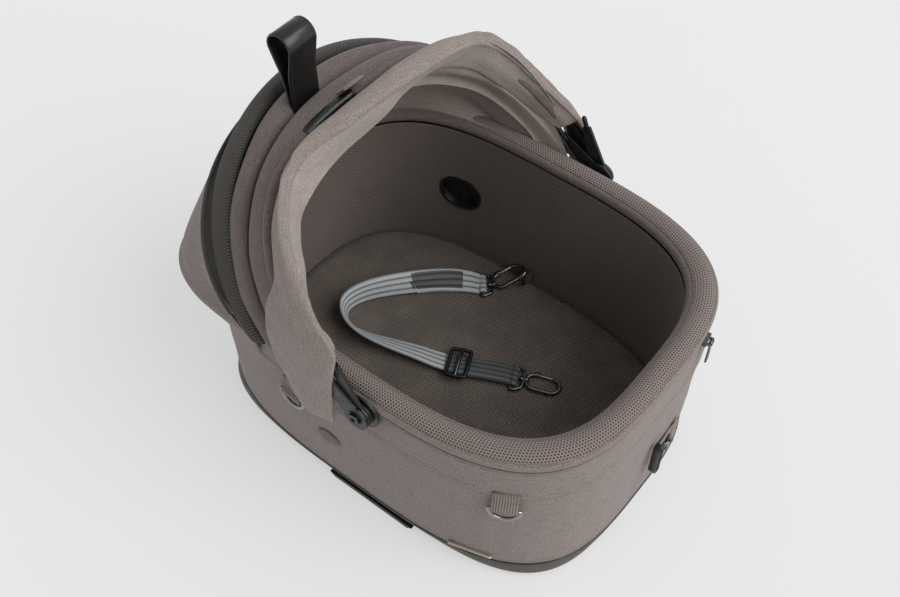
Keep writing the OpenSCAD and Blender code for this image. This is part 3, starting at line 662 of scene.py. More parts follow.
def leash_lines():
    """The webbing's middle line and the direction of its width along it."""
    route = curve(LEASH_ROUTE, 6)
    lean = np.radians(route[:, 2])
    centres = np.stack([route[:, 0], route[:, 1], MAT_TOP + 2.2 + LEASH_WIDTH / 2 * np.sin(lean)], axis=1)
    run = unit(np.gradient(centres, axis=0))
    flat = unit(np.stack([run[:, 1], -run[:, 0], np.zeros(len(run))], axis=1))
    wides = np.cos(lean)[:, None] * flat + np.sin(lean)[:, None] * np.array([0, 0, 1.0])
    return centres, wides


def snap_hook(label, eye, hook, gate_body):
    """The metal pieces of one snap hook: its eye round the webbing, its hook and its sprung gate."""
    half = [(-13.2, -13), (-10.4, -15.2), (-5.5, -12.9), (-2.4, -10.2)]
    frame_path = curve([*half, (-1.8, 0), *[(x, -y) for x, y in half[::-1]], (-12.4, 0)], 8, closed=True)
    bend = arc((10, 0), 9, 90, 270) + arc((27, 0), 9, -90, 78, 16)
    bars = (
        ("snap_eye_{}_ring", eye, [(x, y, 0) for x, y in frame_path], 1.75, GUNMETAL, "snap_eye_{}"),
        ("snap_barrel_{}", eye, [(-4.2, 0, 0), (-1.5, 0, 0), (-1.4, 0, 0)], [2.7, 2.7, 2.2], GUNMETAL, None),
        ("snap_hook_{}_bar", hook, bend, 2.0, GUNMETAL, "snap_hook_{}"),
        ("snap_collar_{}", hook, [(-0.6, 0, 0), (1.6, 0, 0)], 2.5, GUNMETAL, None),
        ("snap_thumb_{}", hook, [(9, 10.2, 0), (12.5, 10.4, 0)], 2.3, DARK_METAL, None),
        ("snap_gate_{}_bar", hook, [(11.7, 9, 0), (26.3, 9, 0)], 1.35, STEEL, "snap_gate_{}"),
    )
    made = []
    for name, place, path, radius, material, node in bars:
        body = gate_body if "gate" in name else "tub"
        piece = tube(name.format(label), placed(place, path), radius, material, closed="eye" in name,
                     sides=20 if "hook" in name else 16)
        made.append(on_body(piece, body, [node.format(label)] if node else []))
    return made


def leash():
    """The webbing, its ends folded round the snaps' bars, the layers sewn on it, and its metal pieces."""
    centres, wides = leash_lines()
    strap = ribbon("leash_webbing_strap", centres, wides, LEASH_WIDTH, 2.0, LEASH)
    on_body(strap, "tub", ["leash_strap"])
    pieces = []
    for label, eye, end, inward in (("a", EYE_A, 0, 1), ("b", EYE_B, -1, -1)):
        bar = np.array(eye @ Vector((EYE_BAR, 0, 0)))
        across = np.array(eye.to_3x3() @ Vector((0, 1, 0)))
        ahead = np.array(eye.to_3x3() @ Vector((1, 0, 0)))
        first = centres[end]
        under = [centres[end + inward * k] - np.array([0, 0, 1.9]) for k in (2, 9, 16, 22)]
        # Ahead of the snap's bar and above it, for each knot of the turn round the bar
        turn = [bar + ahead * x + [0, 0, z] for x, z in ((-1.2, 2.6), (2.2, 1.6), (2.6, -0.6), (-0.4, -2.4))]
        line = curve([first, *turn, *under], 6)
        sign = np.sign(wides[end] @ across)
        beyond = [wides[end + inward * min(i, 16)] * sign for i in range(len(line) - 30)]
        widths = np.array([across] * 30 + beyond)[:len(line)]
        webbing = LEASH_DARK if label == "b" else LEASH
        fold = ribbon(f"leash_fold_{label}", line, widths, LEASH_WIDTH - 1.2, 1.6, webbing)
        on_body(fold, "tub", ["strap_folds"] if label == "a" else [])
        pieces.append(fold)
    # Each layer on top: its rows of the webbing, how far up it lies, its width and its thickness
    for name, rows, rise, width, thickness in (
            ("leash_sewn_patch", slice(8, 26), 1.1, 19, 0.7),
            ("leash_doubled_end", slice(-22, None), 1.3, LEASH_WIDTH, 1.2)):
        layer = ribbon(name, centres[rows] + [0, 0, rise], wides[rows], width, thickness, LEASH_DARK)
        pieces.append(on_body(layer, "tub"))
    pieces.append(adjuster())
    pieces += snap_hook("a", EYE_A, HOOK_A, "gate_a")
    pieces += snap_hook("b", EYE_B, HOOK_B, "gate_b")


def adjuster():
    """The sliding buckle that sets the leash's length."""
    spot = Matrix.Translation((2, 0, MAT_TOP + 8.2)) @ turned_by(24)
    knots = [
        (-10, -13), (-10, 13), (-7, 16.8), (7, 16.8), (10, 13), (10, -13), (7, -16.8), (-7, -16.8),
    ]
    path = placed(spot, [(x, y, 0) for x, y in curve(knots, 8, True)])
    ring = tube("leash_adjuster_frame", path, 2.1, DARK_METAL, closed=True)
    on_body(ring, "tub", ["leash_adjuster"])
    bar = tube("leash_adjuster_bar", placed(spot, [(0, -16, 1.2), (0, 16, 1.2)]), 2.0, GUNMETAL)
    on_body(bar, "tub")
    return ring


# ---- tub ----
def tub_shell():
    """The outer cloth, with soft folds below its sewn seam, and the seam's own fold and stitching."""
    seam_z = 148
    levels = np.concatenate([
        [TRAY_TOP + 0.4, 19.6, 21, 23], np.linspace(26, seam_z - 3.2, 38),
        [seam_z - 1.6, seam_z - 0.7, seam_z, seam_z + 0.7, seam_z + 1.6],
        np.linspace(seam_z + 4, 187.4, 14), [188.6, 189.2],
    ])
    rows = []
    for z in levels:
        above = z > seam_z
        out = 0.35 if above else 0.0
        if abs(z - seam_z) < 1:
            out = -0.9 if z < seam_z else 0.1
        if z < 22:
            out = -0.8 + 0.27 * (z - 19)
        if z > 188:
            out = -0.4
        ring = shell_ring(out, z)
        inwards = -unit(ring * [1, 1.6, 0])
        for j, point in enumerate(ring):
            corner = (abs(point[0]) / RIM_A) ** 2 * (abs(point[1]) / RIM_B) ** 2
            folds = abs(ripple(point * [1, 1, 0.35], 26, 3)) * (0.5 + 2.6 * corner)
            sag = abs(ripple(point, 70, 8)) * 1.4
            calm = 0.25 if above else min(1.0, (seam_z - z) / 30, (z - 18) / 25)
            ring[j] += inwards[j] * (folds + sag) * max(calm, 0.1)
        rows.append(ring)
    rows.append(rim_ring(-3.2, -1.2))
    hoop("shell_fabric", rows, SHELL, ["outer_shell"])
    for name, z in (("shell_seam_stitches", seam_z - 3.4), ("shell_hem_stitches", 24.5)):
        line = shell_ring(0.1, z, 720)
        on_body(stitches(name, line, unit(line * [1, 1.6, 0]), THREAD, closed=True, radius=0.28), "tub")
    section = ((-1.2, 0.8), (0.3, -0.6), (1.2, -0.9), (1.6, 0.4), (1.3, 2.4), (0.6, 4.6), (0.1, 6.5))
    fold = [shell_ring(out, seam_z + rise) for out, rise in section]
    hoop("shell_seam_fold", fold, SHELL)


def tray():
    """The base tray's skirt, from its foot up to the shell's hem, and the dark lip at the hem."""
    a, b = HEM_A - 3.5, HEM_B - 4.5
    # How far inside the foot's edge, how square, and the height
    foot = ((40, 3.6, FOOT + 0.2), (6, 4.0, FOOT), (3, 4.0, FOOT), (1, 4.0, FOOT + 1), (0, 4.0, FOOT + 3))
    rows = [superellipse(a - inset, b - inset, power, z) for inset, power, z in foot]
    rows.append(superellipse(HEM_A - 1.2, HEM_B - 1.4, 3.6, FOOT + 8))
    # How far inside the hem, and how far below the tray's top
    for inset, drop in ((0.1, 1.4), (0, 0.5), (0.6, 0), (3, 0)):
        rows.append(superellipse(HEM_A - inset, HEM_B - inset, OUTLINE_POWER, TRAY_TOP - drop))
    centre = rows[0] * [0.02, 0.02, 1]
    hoop("tray_skirt", [centre, *rows], TRAY, ["base_tray"])
    groove = [superellipse(HEM_A - inset, HEM_B - inset, OUTLINE_POWER, TRAY_TOP + rise)
              for inset, rise in ((0.6, -0.1), (-0.4, 0.2), (-0.5, 0.9), (0.6, 1.3))]
    hoop("tray_lip", groove, BLACK)


def port_oval(side, width, height):
    """Where a port is, and its oval as points round that place."""
    spot = Matrix.Translation((PORT[0], side * PORT[1], PORT[2])) @ turned_by(side * 10)
    flat, radius = (width - height) / 2, height / 2
    return spot, [(flat * np.sign(math.cos(a)) + radius * math.cos(a), radius * math.sin(a))
                  for a in full_turn(64)]


def tub_liner():
    """The mesh wall inside, with a hole at each port."""
    low, high = LINER_LOW + 0.2, RIM_Z + 0.4
    levels = np.concatenate([np.linspace(low, high - 6, 40), [high - 3, high - 1, high]])
    rows = []
    for z in levels:
        share = (z - low) / (high - low)
        a = LINER_A_LOW + (RIM_A + LINER_TOP_OUT - LINER_A_LOW) * share
        b = LINER_B_LOW + (RIM_B + LINER_TOP_OUT - LINER_B_LOW) * share
        ring = superellipse(a, b, LINER_POWER, z)
        inwards = -unit(ring * [1, 1.5, 0])
        for j, point in enumerate(ring):
            calm = math.sin(math.pi * min(max(share, 0), 1)) ** 0.7
            near_port = math.dist(point * [1, np.sign(point[1]), 1], PORT)
            calm *= min(1, max(near_port - 30, 0) / 40)
            slack = 0.9 + 1.5 * ripple(point * [1, 1, 0.5], 55, 5) + 0.5 * ripple(point, 24, 1)
            ring[j] += inwards[j] * calm * slack
        rows.append(ring)
    cloth = grid("liner_cloth", rows, LINER, close_across=True)
    thicken(cloth, 1.2, 1.0)
    cutters = []
    for side in (-1, 1):
        spot, oval = port_oval(side, 46.4, 38.4)
        walls = [placed(spot, [(x, y, z) for x, z in oval]) for y in (-12, 12)]
        cutter = grid(f"port_cutter_{side}", walls, LINER, close_across=True)
        cap_ends(cutter)
        face_outwards(cutter)
        cut = cloth.modifiers.new("port", "BOOLEAN")
        cut.operation = "DIFFERENCE"
        cut.object = cutter
        cutters.append(cutter)
    bake(cloth)
    for cutter in cutters:
        bpy.data.objects.remove(cutter)
    on_body(cloth, "tub", ["liner_wall"])
    line = superellipse(LINER_A_LOW + 0.2, LINER_B_LOW + 0.2, LINER_POWER, low + 12, 700)
    on_body(stitches("liner_base_stitches", line, -unit(line * [1, 1.5, 0]), DARK_THREAD, closed=True), "tub")


def floor_pad():
    """The mat, flat in the middle and rounded down at its piped edge."""
    a, b = LINER_A_LOW - 1, LINER_B_LOW - 1
    low = mat_low[2]
    levels = ((0.02, 0), (0.2, 0), (0.4, 0), (0.6, 0), (0.75, 0.05), (0.85, 0.1))
    rows = [superellipse(a * s, b * s, 2.4 + 0.8 * s, MAT_TOP - drop) for s, drop in levels]
    edge = ((14, 0.2), (9, 0.7), (6, 1.5), (3.5, 2.8), (1.4, 4.6), (0.4, 6.4), (1.2, 8.4), (4, 9.7))
    for inset, drop in edge:
        rows.append(superellipse(a - inset, b - inset, LINER_POWER, MAT_TOP - drop))
    rows.append(superellipse(a * 0.5, b * 0.5, LINER_POWER, low))
    rows.append(superellipse(a * 0.02, b * 0.02, LINER_POWER, low))
    for row in rows[:10]:
        for point in row:
            point[2] -= 0.25 + 0.25 * ripple(point * [1, 1, 0], 45, 2)
    pad = hoop("mat_pad", rows, MAT, ["floor_mat"])
    edge = superellipse(a - 2.2, b - 2.2, LINER_POWER, MAT_TOP - 3.4)
    on_body(tube("mat_piping", edge, 1.5, PIPING, closed=True, sides=10), "tub")


def rim():
    """The padded rim: an inner roll, a mesh band and an outer roll, each with its stitching."""
    # Each section is how far out from the zip line, and how far up from it
    inner = [(-19, 0.6), (-22.6, 1.6), (-24.6, 4.6), (-24.7, 8.2), (-22.8, 11.4), (-20.4, 12.5)]
    band = [(-20.7, 12.2), (-18.4, 14.4), (-14, 16.2), (-9.5, 16.6), (-5.2, 15), (-2.2, 12), (-1.5, 10.3)]
    outer = [(-1.8, 10.2), (0.2, 9.4), (1.6, 7.4), (1.8, 5.2), (1.0, 3.2), (-0.8, 2.2)]
    # The inner roll takes the darker copy of the shell cloth, with painted shade
    for name, material, section, stands_for in (("rim_inner_roll", SHELL_SHADE_AND_PATCH, inner, []),
                                                ("rim_band", RIM_MESH, band, ["rim_pad"]),
                                                ("rim_outer_roll", SHELL, outer, [])):
        hoop(name, [rim_ring(*point) for point in curve(section, 4)], material, stands_for)
    for name, out, up, side, rise in (("rim_stitches_inner", -23.7, 10.2, -0.7, 0.7),
                                      ("rim_stitches_middle", -19.6, 13.7, -0.4, 0.9),
                                      ("rim_stitches_outer", -0.3, 9.8, 0.5, 0.85)):
        line = rim_ring(out, up, 900)
        normals = unit(line * [1, 1.4, 0]) * side + np.array([0, 0, rise])
        on_body(stitches(name, line, normals, THREAD, closed=True, pitch=3.2), "tub")
    section = ((-2.6, -2.6), (-0.2, -2.0), (-0.5, -0.4), (-0.5, 0.4), (-0.2, 2.0), (-2.2, 3.0))
    hoop("zip_tape_cloth", [rim_ring(*point) for point in section], TAPE, ["zip_tape"])
    zip_coil()


def zip_coil():
    """Teeth like small bricks with bevelled outsides, stepped up and down in turn."""
    pitch, half = 1.7, 0.62
    line = rim_ring(0.35, 0, 3000)
    total = np.linalg.norm(np.diff(line, axis=0), axis=1).sum()
    centres = even(line, int(total / pitch), True)
    run = unit(np.roll(centres, -1, 0) - centres)
    square = ((-1, -1), (1, -1), (1, 1), (-1, 1))
    corners = [(x, y, -1) for x, y in square] + [(0.6 * x, 0.6 * y, 1) for x, y in square]
    sides = [(0, 3, 2, 1), (4, 5, 6, 7), (0, 1, 5, 4), (1, 2, 6, 5), (2, 3, 7, 6), (3, 0, 4, 7)]
    vertices, faces = [], []
    for index, (centre, ahead) in enumerate(zip(centres, run)):
        out = np.array([ahead[1], -ahead[0], 0])
        shift = 0.22 if index % 2 else -0.22
        first = len(vertices)
        for x, y, z in corners:
            vertices.append(centre + ahead * half * x + np.array([0, 0, 1.25 * y + shift]) + out * 0.75 * z)
        faces += [tuple(first + k for k in side) for side in sides]
    on_body(make_object("zip_coil", vertices, faces, COIL), "tub", ["zip_teeth"])


# ---- fittings ----
# Each D-ring's angle round the shell and its height
RINGS = {"front_left": (-53, 132), "front_right": (53, 132), "rear_left": (-96, 124), "rear_right": (96, 124)}
RING_BEND = 14.4


def pointing(spot, axis):
    """One of a frame's own axes, as a direction in the row frame."""
    return np.array(spot.to_3x3() @ Vector(axis))


def along_sides(spot, corners, count):
    """Points along the straight sides between corners."""
    return np.vstack([even(placed(spot, corners[k:k + 2]), count) for k in range(len(corners) - 1)])


def d_rings():
    """The four D-rings, each in a loop of webbing sewn to the shell."""
    profile = curve([
        (-1.9, 21.8), (-1.9, 10), (-0.9, 5.4), (1.8, 2.7), (2.8, 0), (1.9, -2), (0, -2.8), (-1.9, -2),
        (-2.7, 0), (-3.1, 4), (-3.1, 12), (-3.1, 21.8),
    ], 5)
    stood_for = ["ring_tabs"]
    for name, (angle, z) in RINGS.items():
        spot = on_shell(angle, 4.2, z)
        turns = np.radians(np.linspace(0, 180, 30))
        bend = [(0, RING_BEND * math.cos(a), -RING_BEND * math.sin(a)) for a in turns]
        path = bend + [(0, y, 0) for y in np.linspace(-RING_BEND, RING_BEND, 10)[1:-1]]
        ring = tube(f"ring_{name}", placed(spot, path), 1.9, STEEL, closed=True, sides=18)
        on_body(ring, f"ring_{name}", [f"d_ring_{name}"])
        line = placed(spot, [(x, 0, up) for x, up in profile])
        strap = ribbon(f"tab_{name}", line, [pointing(spot, (0, 1, 0))] * len(line), 24, 1.0, TABS)
        on_body(strap, "tub", stood_for)
        stood_for = []
        outline = [(-1.3, y, up) for y, up in ((-10.4, 20), (10.4, 20), (10.4, 9), (-10.4, 9), (-10.4, 20))]
        path, out = along_sides(spot, outline, 12), pointing(spot, (1, 0, 0))
        on_body(stitches(f"tab_stitches_{name}", path, out, THREAD, pitch=2.6, length=1.9), "tub")


def anchor():
    """The upright D-ring that the leash clips to, and its tab."""
    spot, radius = Matrix.Translation((-11, 136.5, 44)), 9.5
    bend = [(0, -radius * math.sin(a), radius * math.cos(a)) for a in np.radians(np.linspace(0, 180, 24))]
    path = bend + [(0, 0, z) for z in np.linspace(-radius, radius, 8)[1:-1]]
    ring = tube("anchor_ring_bar", placed(spot, path), 1.5, STEEL, closed=True)
    on_body(ring, "anchor", ["anchor_ring"])
    profile = curve([
        (-0.6, 9.6), (-1.2, 5), (-2.2, 1.6), (-1.6, -1.6), (0, -2.3), (1.6, -1.6), (2.2, 1.6), (1.3, 5),
        (0.8, 9.6),
    ], 5)
    line = placed(spot, [(x + 0.6, y, 0) for x, y in profile])
    strap = ribbon("anchor_tab_strap", line, [(0, 0, 1)] * len(line), 14, 1.0, PIPING)
    on_body(strap, "tub", ["anchor_tab"])


def front_fittings():
    """The front tab with its pull loop, and the plain bar badge."""
    tab_z = 76
    spot = on_shell(4.5, 1.5, tab_z)
    line = [(0.35 * math.sin(k * 0.7), y, 0) for k, y in enumerate(np.linspace(-19, 19, 15))]
    strap = ribbon("front_tab_strap", placed(spot, line), [(0, 0, 1)] * 15, 18, 1.8, TABS)
    on_body(strap, "tub", ["front_tab"])
    outline = [(1, 4.5, 7), (1, 17, 7), (1, 17, -7), (1, 4.5, -7), (1, 4.5, 7), (1, 17, -7)]
    path, out = along_sides(spot, outline, 8), pointing(spot, (1, 0, 0))
    on_body(stitches("front_tab_stitches", path, out, THREAD, pitch=2.6, length=1.9, lift=0.05), "tub")
    loop_at = on_shell(0.2, 6.6, tab_z + 2)
    bend, straight = 3.4, 17
    oval = [(0, bend * math.cos(a), straight * math.copysign(1, math.sin(a)) + bend * math.sin(a))
            for a in np.radians(np.linspace(4, 356, 40))]
    oval = even(placed(loop_at, oval), 72, True)
    wides = [pointing(loop_at, (1, 0, 0))] * len(oval)
    loop = ribbon("pull_loop_leather", oval, wides, 8, 2.1, LEATHER, closed=True)
    on_body(loop, "tub", ["pull_loop"])
    line = placed(on_shell(-64, 1.1, 29), [(0, y, 0) for y in np.linspace(-19.5, 19.5, 12)])
    on_body(tube("badge_metal_bar", line, 2.5, PEWTER, flat=0.36), "tub", ["badge_bar"])
    oval_patch()


def oval_patch():
    """A plain sewn-on patch with a stitched groove inside its edge."""
    spot = on_shell(-91.2, 0.6, 83)
    half_length, half_height = 13, 8.5

    def oval(share, out):
        a, b = half_length * share, half_height * share
        return placed(spot, [(out, a * math.cos(turn), b * math.sin(turn)) for turn in full_turn(72)])

    section = ((1, -0.6), (1, 0.4), (0.94, 1), (0.8, 0.9), (0.76, 0.7), (0.7, 0.9), (0.3, 1), (0.02, 1))
    rows = [oval(share, out) for share, out in section]
    hoop("oval_stitched_patch", rows, SHELL_SHADE_AND_PATCH, ["oval_patch"])
    thread = stitches("oval_patch_stitches", oval(0.78, 0.9), pointing(spot, (1, 0, 0)), PALE_THREAD,
                      pitch=2.2, length=1.6, closed=True)
    on_body(thread, "tub")


def cad_finishes():
    """Materials and softened edges for the CAD parts that stay in view."""
    groups = {
        (BLACK, 0.4): ["skid_left", "skid_right", "port_left", "port_right", "hub_bracket_left",
                       "hub_bracket_right", "mid_bow_arms", "front_bow_arms", "handle_arms"],
        (RUBBER, 0.5): ["rubber_feet"],
        (GUNMETAL, 0.3): ["tray_screws", "front_studs", "zip_slider", "zip_pull", "rim_frame"],
        (DARK_METAL, 0.1): ["hub_screws", "spring_washers"],
        (BOARD, 0.4): ["floor_board", "side_stiffener_left", "side_stiffener_right", "end_stiffener_front",
                       "end_stiffener_rear"],
    }
    for (material, width), names in groups.items():
        for name in names:
            node = frame["nodes"][name]
            node.data.materials.clear()
            node.data.materials.append(material)
            weld = node.modifiers.new("weld", "WELD")
            weld.merge_threshold = 0.00002
            bevel = node.modifiers.new("soft edges", "BEVEL")
            bevel.width = width * MM
            bevel.segments = 2
            bevel.angle_limit = math.radians(40)
            bevel.harden_normals = True


# ---- canopy ----
# Bands of the canopy, each from its rear edge to its front edge, as sections for canopy_rows
HOOD_ROLL = [
    (-93, -213, 304, 1.97, 185), (-86, -205, 321, 1.95, 187), (-77, -192, 328, 1.94, 184),
    (-76, -188, 322, 1.95, 181), (-82, -192, 312, 1.97, 178),
]
PLEAT_REAR = [
    (-86, -187, 309, 2.0, 175), (-84, -185, 314, 2.01, 178), (-78, -180, 324, 2.05, 181),
    (-68, -171, 331, 2.15, 182.5), (-60, -163, 330, 2.25, 181.5), (-54, -158, 324, 2.3, 179),
    (-53, -156, 318, 2.3, 176),
]
PLEAT_FRONT = [
    (-52, -155, 318, 2.3, 176), (-49, -153, 324, 2.3, 179), (-40, -149, 331, 2.35, 182),
    (-22, -142, 335, 2.4, 184.5), (0, -134, 335.5, 2.47, 186), (10, -129, 334, 2.49, 186),
    (13, -126, 328, 2.5, 184), (8, -128, 320, 2.5, 181),
]


def canopy_rows(sections):
    """Arches interpolated through sections of (root x, top x, top z, power, half width)."""
    return np.array([arch(*section) for section in curve(sections, 5)])


def wrinkled(rows, height, size, seed):
    """Creases that run along a band of cloth, strongest between its edges."""
    count = len(rows)

    def crease(i, point):
        middle = math.sin(math.pi * i / (count - 1))
        return height * middle * ripple(point * [1, 0.45, 1], size, seed)

    return push(rows, crease)


def line_stitches(name, rows, index, material, body=None, between=None):
    """Stitching along one row of a cloth band."""
    rows = np.asarray(rows)
    normal = unit(np.cross(np.gradient(rows, axis=1), np.gradient(rows, axis=0)))[index]
    if (normal * (rows[index] - [PIVOT[0], 0, 150])).sum() < 0:
        normal = -normal
    made = stitches(name, rows[index], normal, material)
    if body:
        on_body(made, body)
    else:
        bending(made, *between)


def canopy_bands():
    """The dark mesh roll and the two pleats in front of it."""
    to_mid = ("tub", "canopy_mid", (-93, 0, 196), (-110, 0, 225))
    to_front = ("canopy_mid", "canopy_front", (-155, 0, 318), (-127, 0, 341))
    roll = wrinkled(canopy_rows(HOOD_ROLL), 1.2, 40, 1)
    hood = bending(thicken(grid("hood_roll", roll, HOOD_MESH), 1.0), *to_mid, "hood_mesh", ["canopy_mesh"])
    for name, sections, wrinkle, across, stands_for, cut, row in (
            ("pleat_rear", PLEAT_REAR, (1.6, 34, 4), to_mid, ["canopy_pleats"], (37, 640), 16),
            ("pleat_front", PLEAT_FRONT, (2.2, 36, 7), to_front, [], (48, 650), 24)):
        rows = wrinkled(canopy_rows(sections), *wrinkle)
        # The pleats take the darker copy of the shell cloth, with painted shade
        pleat = thicken(grid(name, rows, PLEATS_PAINTED_SHADE), 0.9)
        bending(pleat, *across, "taupe_shell", stands_for)
        line_stitches(f"{name}_stitches", rows, row, THREAD, between=across)


def rim_line(angles, out, up):
    """Points out from the zip line at the given outline angles, and up from its height."""
    x = (RIM_A + out) * signed_power(np.cos(angles), 2 / OUTLINE_POWER)
    y = (RIM_B + out) * signed_power(np.sin(angles), 2 / OUTLINE_POWER)
    return np.stack([x, y, np.full(len(angles), RIM_Z + up)], axis=1)


def rear_panel():
    """The panel that bulges back from the shell's rear up to the mesh roll."""
    to_mid = ("tub", "canopy_mid", (-212, 0, 170), (-226, 0, 290))
    top = arch(-104, -215, 296, 2.1, 186, 206, trim=0.02)
    share = np.linspace(0, 1, ACROSS)
    angles = np.radians(-104 - 152 * share)
    bulges = np.abs(np.sin(2 * np.pi * share)) ** 1.2
    swell = 5 + 25 * 0.75 * bulges + 4 * np.sin(np.pi * share)
    low, tuck = rim_line(angles, 1.0, -34), rim_line(angles, swell * 0.35, -26)
    side, middle = rim_line(angles, swell, -9), rim_line(angles, swell * 0.75, 16)
    rows = curve([low, tuck, side, (side + middle) / 2, middle, (middle + top) / 2, top], 6)
    rows = wrinkled(rows, 2.0, 48, 11)
    panel = thicken(grid("rear_panel_cloth", rows, SHELL), 1.2)
    bending(panel, *to_mid, "taupe_shell", ["canopy_rear_panel"])
    bending(tube("rear_panel_piping", rows[-1] + [0, 0, 0.4], 1.6, PIPING, sides=10), *to_mid, "tape")
    edge = canopy_rows(HOOD_ROLL[:1])[0]
    strip = curve([rows[-1] - [0, 0, 1], (rows[-1] + edge) / 2 - [0, 0, 1.5], edge], 4)
    bending(grid("rear_mesh_strip", strip, HOOD_MESH), *to_mid, "hood_mesh")


# Lines of the visor from the near rim over the top to the far rim, read off the photo
VISOR_REAR = [
    (-40, -190, 168), (-58, -191, 214), (-62, -188, 256), (-60, -175, 290), (-78, -155, 319),
    (-91, -131, 334), (-101, -95, 345), (-105, -45, 350), (-105, 0, 350), (-105, 45, 350),
    (-101, 95, 345), (-91, 131, 334), (-78, 155, 319), (-55, 175, 290), (-24, 187, 248), (-6, 190, 206),
    (0, 190, 172),
]
VISOR_FRONT = [
    (6, -191, 160), (9, -192, 223), (13, -190.5, 262), (-9, -186, 283), (-31, -176, 305),
    (-57, -160, 322), (-80, -136, 335), (-94, -113, 339), (-97, -92, 345), (-93, -74, 350),
    (-87, -50, 355), (-86, -22, 357), (-84, 10, 357), (-84, 60, 352), (-86, 105, 341), (-85, 139, 327),
    (-71, 163, 304), (-48, 178, 278), (-24, 187, 258), (2, 190, 241), (20, 191, 214), (24, 190, 180),
]
LINING_EDGE = [
    (4, -178, 246), (-27, -169, 266), (-43, -156, 290), (-64, -139, 299), (-78, -122, 305),
    (-80, -100, 318), (-86, -62, 324), (-87, -25, 325), (-86, 5, 331), (-96, 50, 325), (-104, 94, 311),
    (-90, 139, 286), (-50, 172, 242), (-16, 178, 228),
]


def sweep(knots, shift=(0, 0, 0), start=0.0, end=1.0):
    """An even line through knots, from start to end as shares of its length."""
    line = even(curve(knots, 10), 1001)[int(1000 * start):int(1000 * end) + 1]
    return even(line, ACROSS) + np.array(shift)


def toward_middle(line, amount):
    """The line moved in towards the middle of the tub's canopy."""
    return line - unit(line - np.array([0, 0, 190.0])) * amount


def visor():
    """The visor's cloth over the front bow, and the lighter lining inside its front edge."""
    rear, front = sweep(VISOR_REAR), sweep(VISOR_FRONT)
    middle = toward_middle((rear + front) / 2, -4.5)
    outer = [
        toward_middle(rear, 6), toward_middle(rear, 1), (rear + middle) / 2 - [0, 0, 0.4], middle,
        toward_middle((front + middle) / 2, -2.2), toward_middle(front, -0.5),
        toward_middle(front, 2) + [1.6, 0, -0.6], toward_middle(front, 5) + [0.5, 0, -0.5],
    ]
    cloth = wrinkled(curve(outer, 6), 2.8, 24, 13)
    # The visor takes the lighter copy of the shell cloth, with painted light
    flap = thicken(grid("visor_cloth_painted_light", cloth, VISOR_PAINTED_LIGHT), 1.0)
    on_body(flap, "canopy_front", ["canopy_visor"])
    line_stitches("visor_stitches", cloth, 30, THREAD, "canopy_front")
    lip = sweep(VISOR_FRONT, start=0.145, end=0.905)
    edge = sweep(LINING_EDGE)
    upper, belly = toward_middle(lip, 3.5), toward_middle((lip + edge) / 2, 3)
    inner = [
        toward_middle(lip, 2) + [0.8, 0, -0.4], upper, (upper + belly) / 2, belly, (belly + edge) / 2,
        edge, edge + [-7, 0, 3],
    ]
    lining = wrinkled(curve(inner, 7), 4.0, 24, 17)
    made = thicken(grid("visor_lining", lining, LINING), 0.8)
    on_body(made, "canopy_front")
    line_stitches("visor_lining_stitches", lining, 16, PALE_THREAD, "canopy_front")


def hood_lining():
    """The lining behind the visor, down to the rear of the rim."""
    sections = (
        (2, -126, 306, 2.6, 175), (-22, -140, 296, 2.5, 172), (-20, -136, 287, 2.5, 169),
        (-34, -148, 288, 2.4, 170), (-56, -164, 276, 2.3, 169), (-76, -182, 256, 2.3, 168),
    )
    low = rim_line(np.radians(-100 - 160 * np.linspace(0, 1, ACROSS)), -19, 15)
    rows = [sweep(LINING_EDGE, (-6, 0, 2.5)), *[arch(*section) for section in sections], low]
    cloth = grid("hood_lining", wrinkled(curve(rows, 6), 3.0, 32, 19), LINING)
    bending(cloth, "tub", "canopy_mid", (-190, 0, 215), (-160, 0, 280), "taupe_shell")


def handle_parts():
    """The carry handle: cloth sleeves over its tube, and a leather grip on one part of its middle."""
    count = 240
    line = bow(HANDLE_ANGLE, HANDLE_RADIUS, 2.8, 187, count)
    share = np.linspace(0, 1, count)
    # The sleeves take the darker copy of the shell cloth, with painted shade
    sleeve = tube("handle_sleeve", line[(share > 0.11) & (share < 0.89)], 5.4, SHELL_SHADE_AND_PATCH, sides=18)
    on_body(sleeve, "carry_handle", ["handle_bow"])
    middle = line[(share > 0.41) & (share < 0.5)]
    radii = 6.6 + 0.5 * np.sin(np.linspace(0, np.pi, len(middle)))
    grip = tube("handle_grip_leather", middle, radii, LEATHER, sides=22)
    on_body(grip, "carry_handle", ["handle_grip"])
    seam = middle + 7.0 * leaning(HANDLE_ANGLE)
    on_body(stitches("handle_grip_stitches", seam, [0, 0, 1], DARK_THREAD, pitch=3.0), "carry_handle")


def bow_rods():
    """The ends of the two bow rods. The rest of each rod runs inside the cloth."""
    for name, node, angle, y, body in (
            ("mid_bow_rod", "mid_bow", 147, 182, "canopy_mid"),
            ("front_bow_rod", "front_bow", 114, 184.9, "canopy_front")):
        along = leaning(angle)
        for side_name, side in (("near", -1), ("far", 1)):
            foot = PIVOT * [1, 0, 1] + [0, side * y, 0] + 50 * along
            path = [foot, foot + 8 * along, foot + 16 * along]
            end = tube(f"{name}_{side_name}", path, 2.4, DARK_METAL, sides=14)
            on_body(end, body, [node] if side < 0 else [])


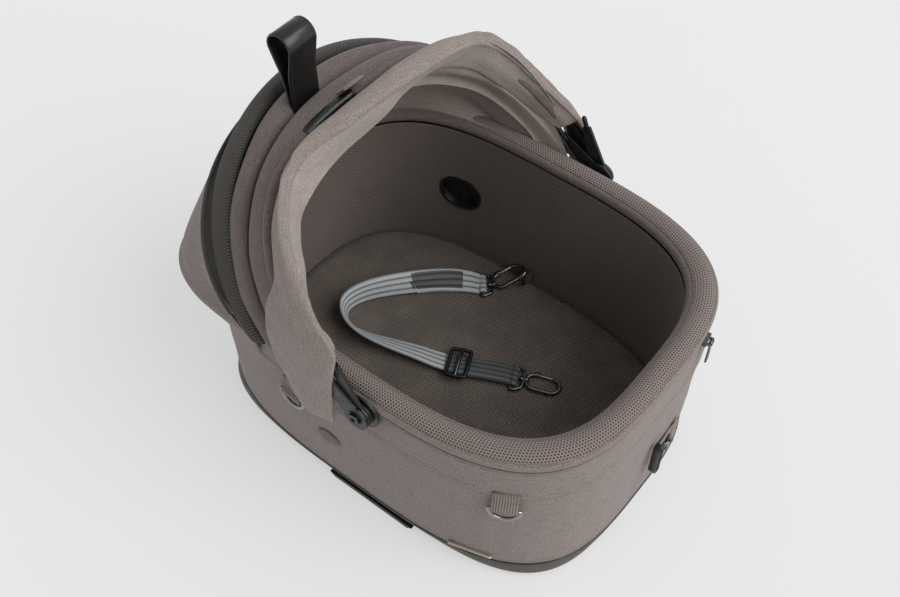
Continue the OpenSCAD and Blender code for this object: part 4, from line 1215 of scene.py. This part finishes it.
def grab_loop():
    """The leather strap, doubled into an upright drop."""
    low, high = box_mm("grab_loop")
    radius, reach = 12.6, high[2] - low[2] - 14
    place = Vector((high[0] - 14, (low[1] + high[1]) / 2, high[2] - 14))
    spot = Matrix.Translation(place) @ turned_by(-8.5, "Y")
    turns = np.radians(np.linspace(-20, 200, 30))
    bend = [(radius * math.cos(a), 0, radius * math.sin(a)) for a in turns]
    tail = [(1.4, 0, -reach), (1.8, 0, 8 - reach), (4.6, 0, -30), (9.4, 0, -13)]
    path = tail + bend + [(-x, 0, z) for x, _, z in tail[::-1]]
    line = placed(spot, curve(path, 3))
    strap = ribbon("grab_loop_leather", line, [(0, 1, 0)] * len(line), 34, 2.4, LEATHER)
    on_body(strap, "canopy_mid", ["grab_loop"])
    normal = unit(np.cross(np.gradient(line, axis=0), [0, 1, 0]))
    if normal[len(line) // 2][2] < 0:
        normal = -normal
    for name, side in (("near", -1), ("far", 1)):
        edge = line + normal * 1.2 + [0, side * 14.6, 0]
        made = stitches(f"grab_loop_stitches_{name}", edge, normal, DARK_THREAD, pitch=2.8, length=2.0)
        on_body(made, "canopy_mid")


def keeper():
    """The cloth loop that holds the handle to the visor."""
    outward = leaning(HANDLE_ANGLE)
    ahead = np.array([outward[2], 0, -outward[0]])
    centre = PIVOT * [1, 0, 1] + HANDLE_RADIUS * outward
    wrap = [centre + 9.2 * (math.cos(a) * ahead + math.sin(a) * outward)
            for a in np.radians(np.linspace(10, 335, 40))]
    tail = centre + ahead * 17 + outward * 7
    line = curve([tail, (tail + wrap[6]) / 2 + outward, *wrap[6:]], 2)
    cloth = ribbon("keeper_cloth", line, [(0, 1, 0)] * len(line), 26, 1.6, SHELL)
    on_body(cloth, "canopy_front", ["keeper_loop"])


studio()
leash()
tub_shell()
tray()
tub_liner()
floor_pad()
rim()
d_rings()
anchor()
front_fittings()
cad_finishes()
canopy_bands()
rear_panel()
visor()
hood_lining()
handle_parts()
bow_rods()
grab_loop()
keeper()
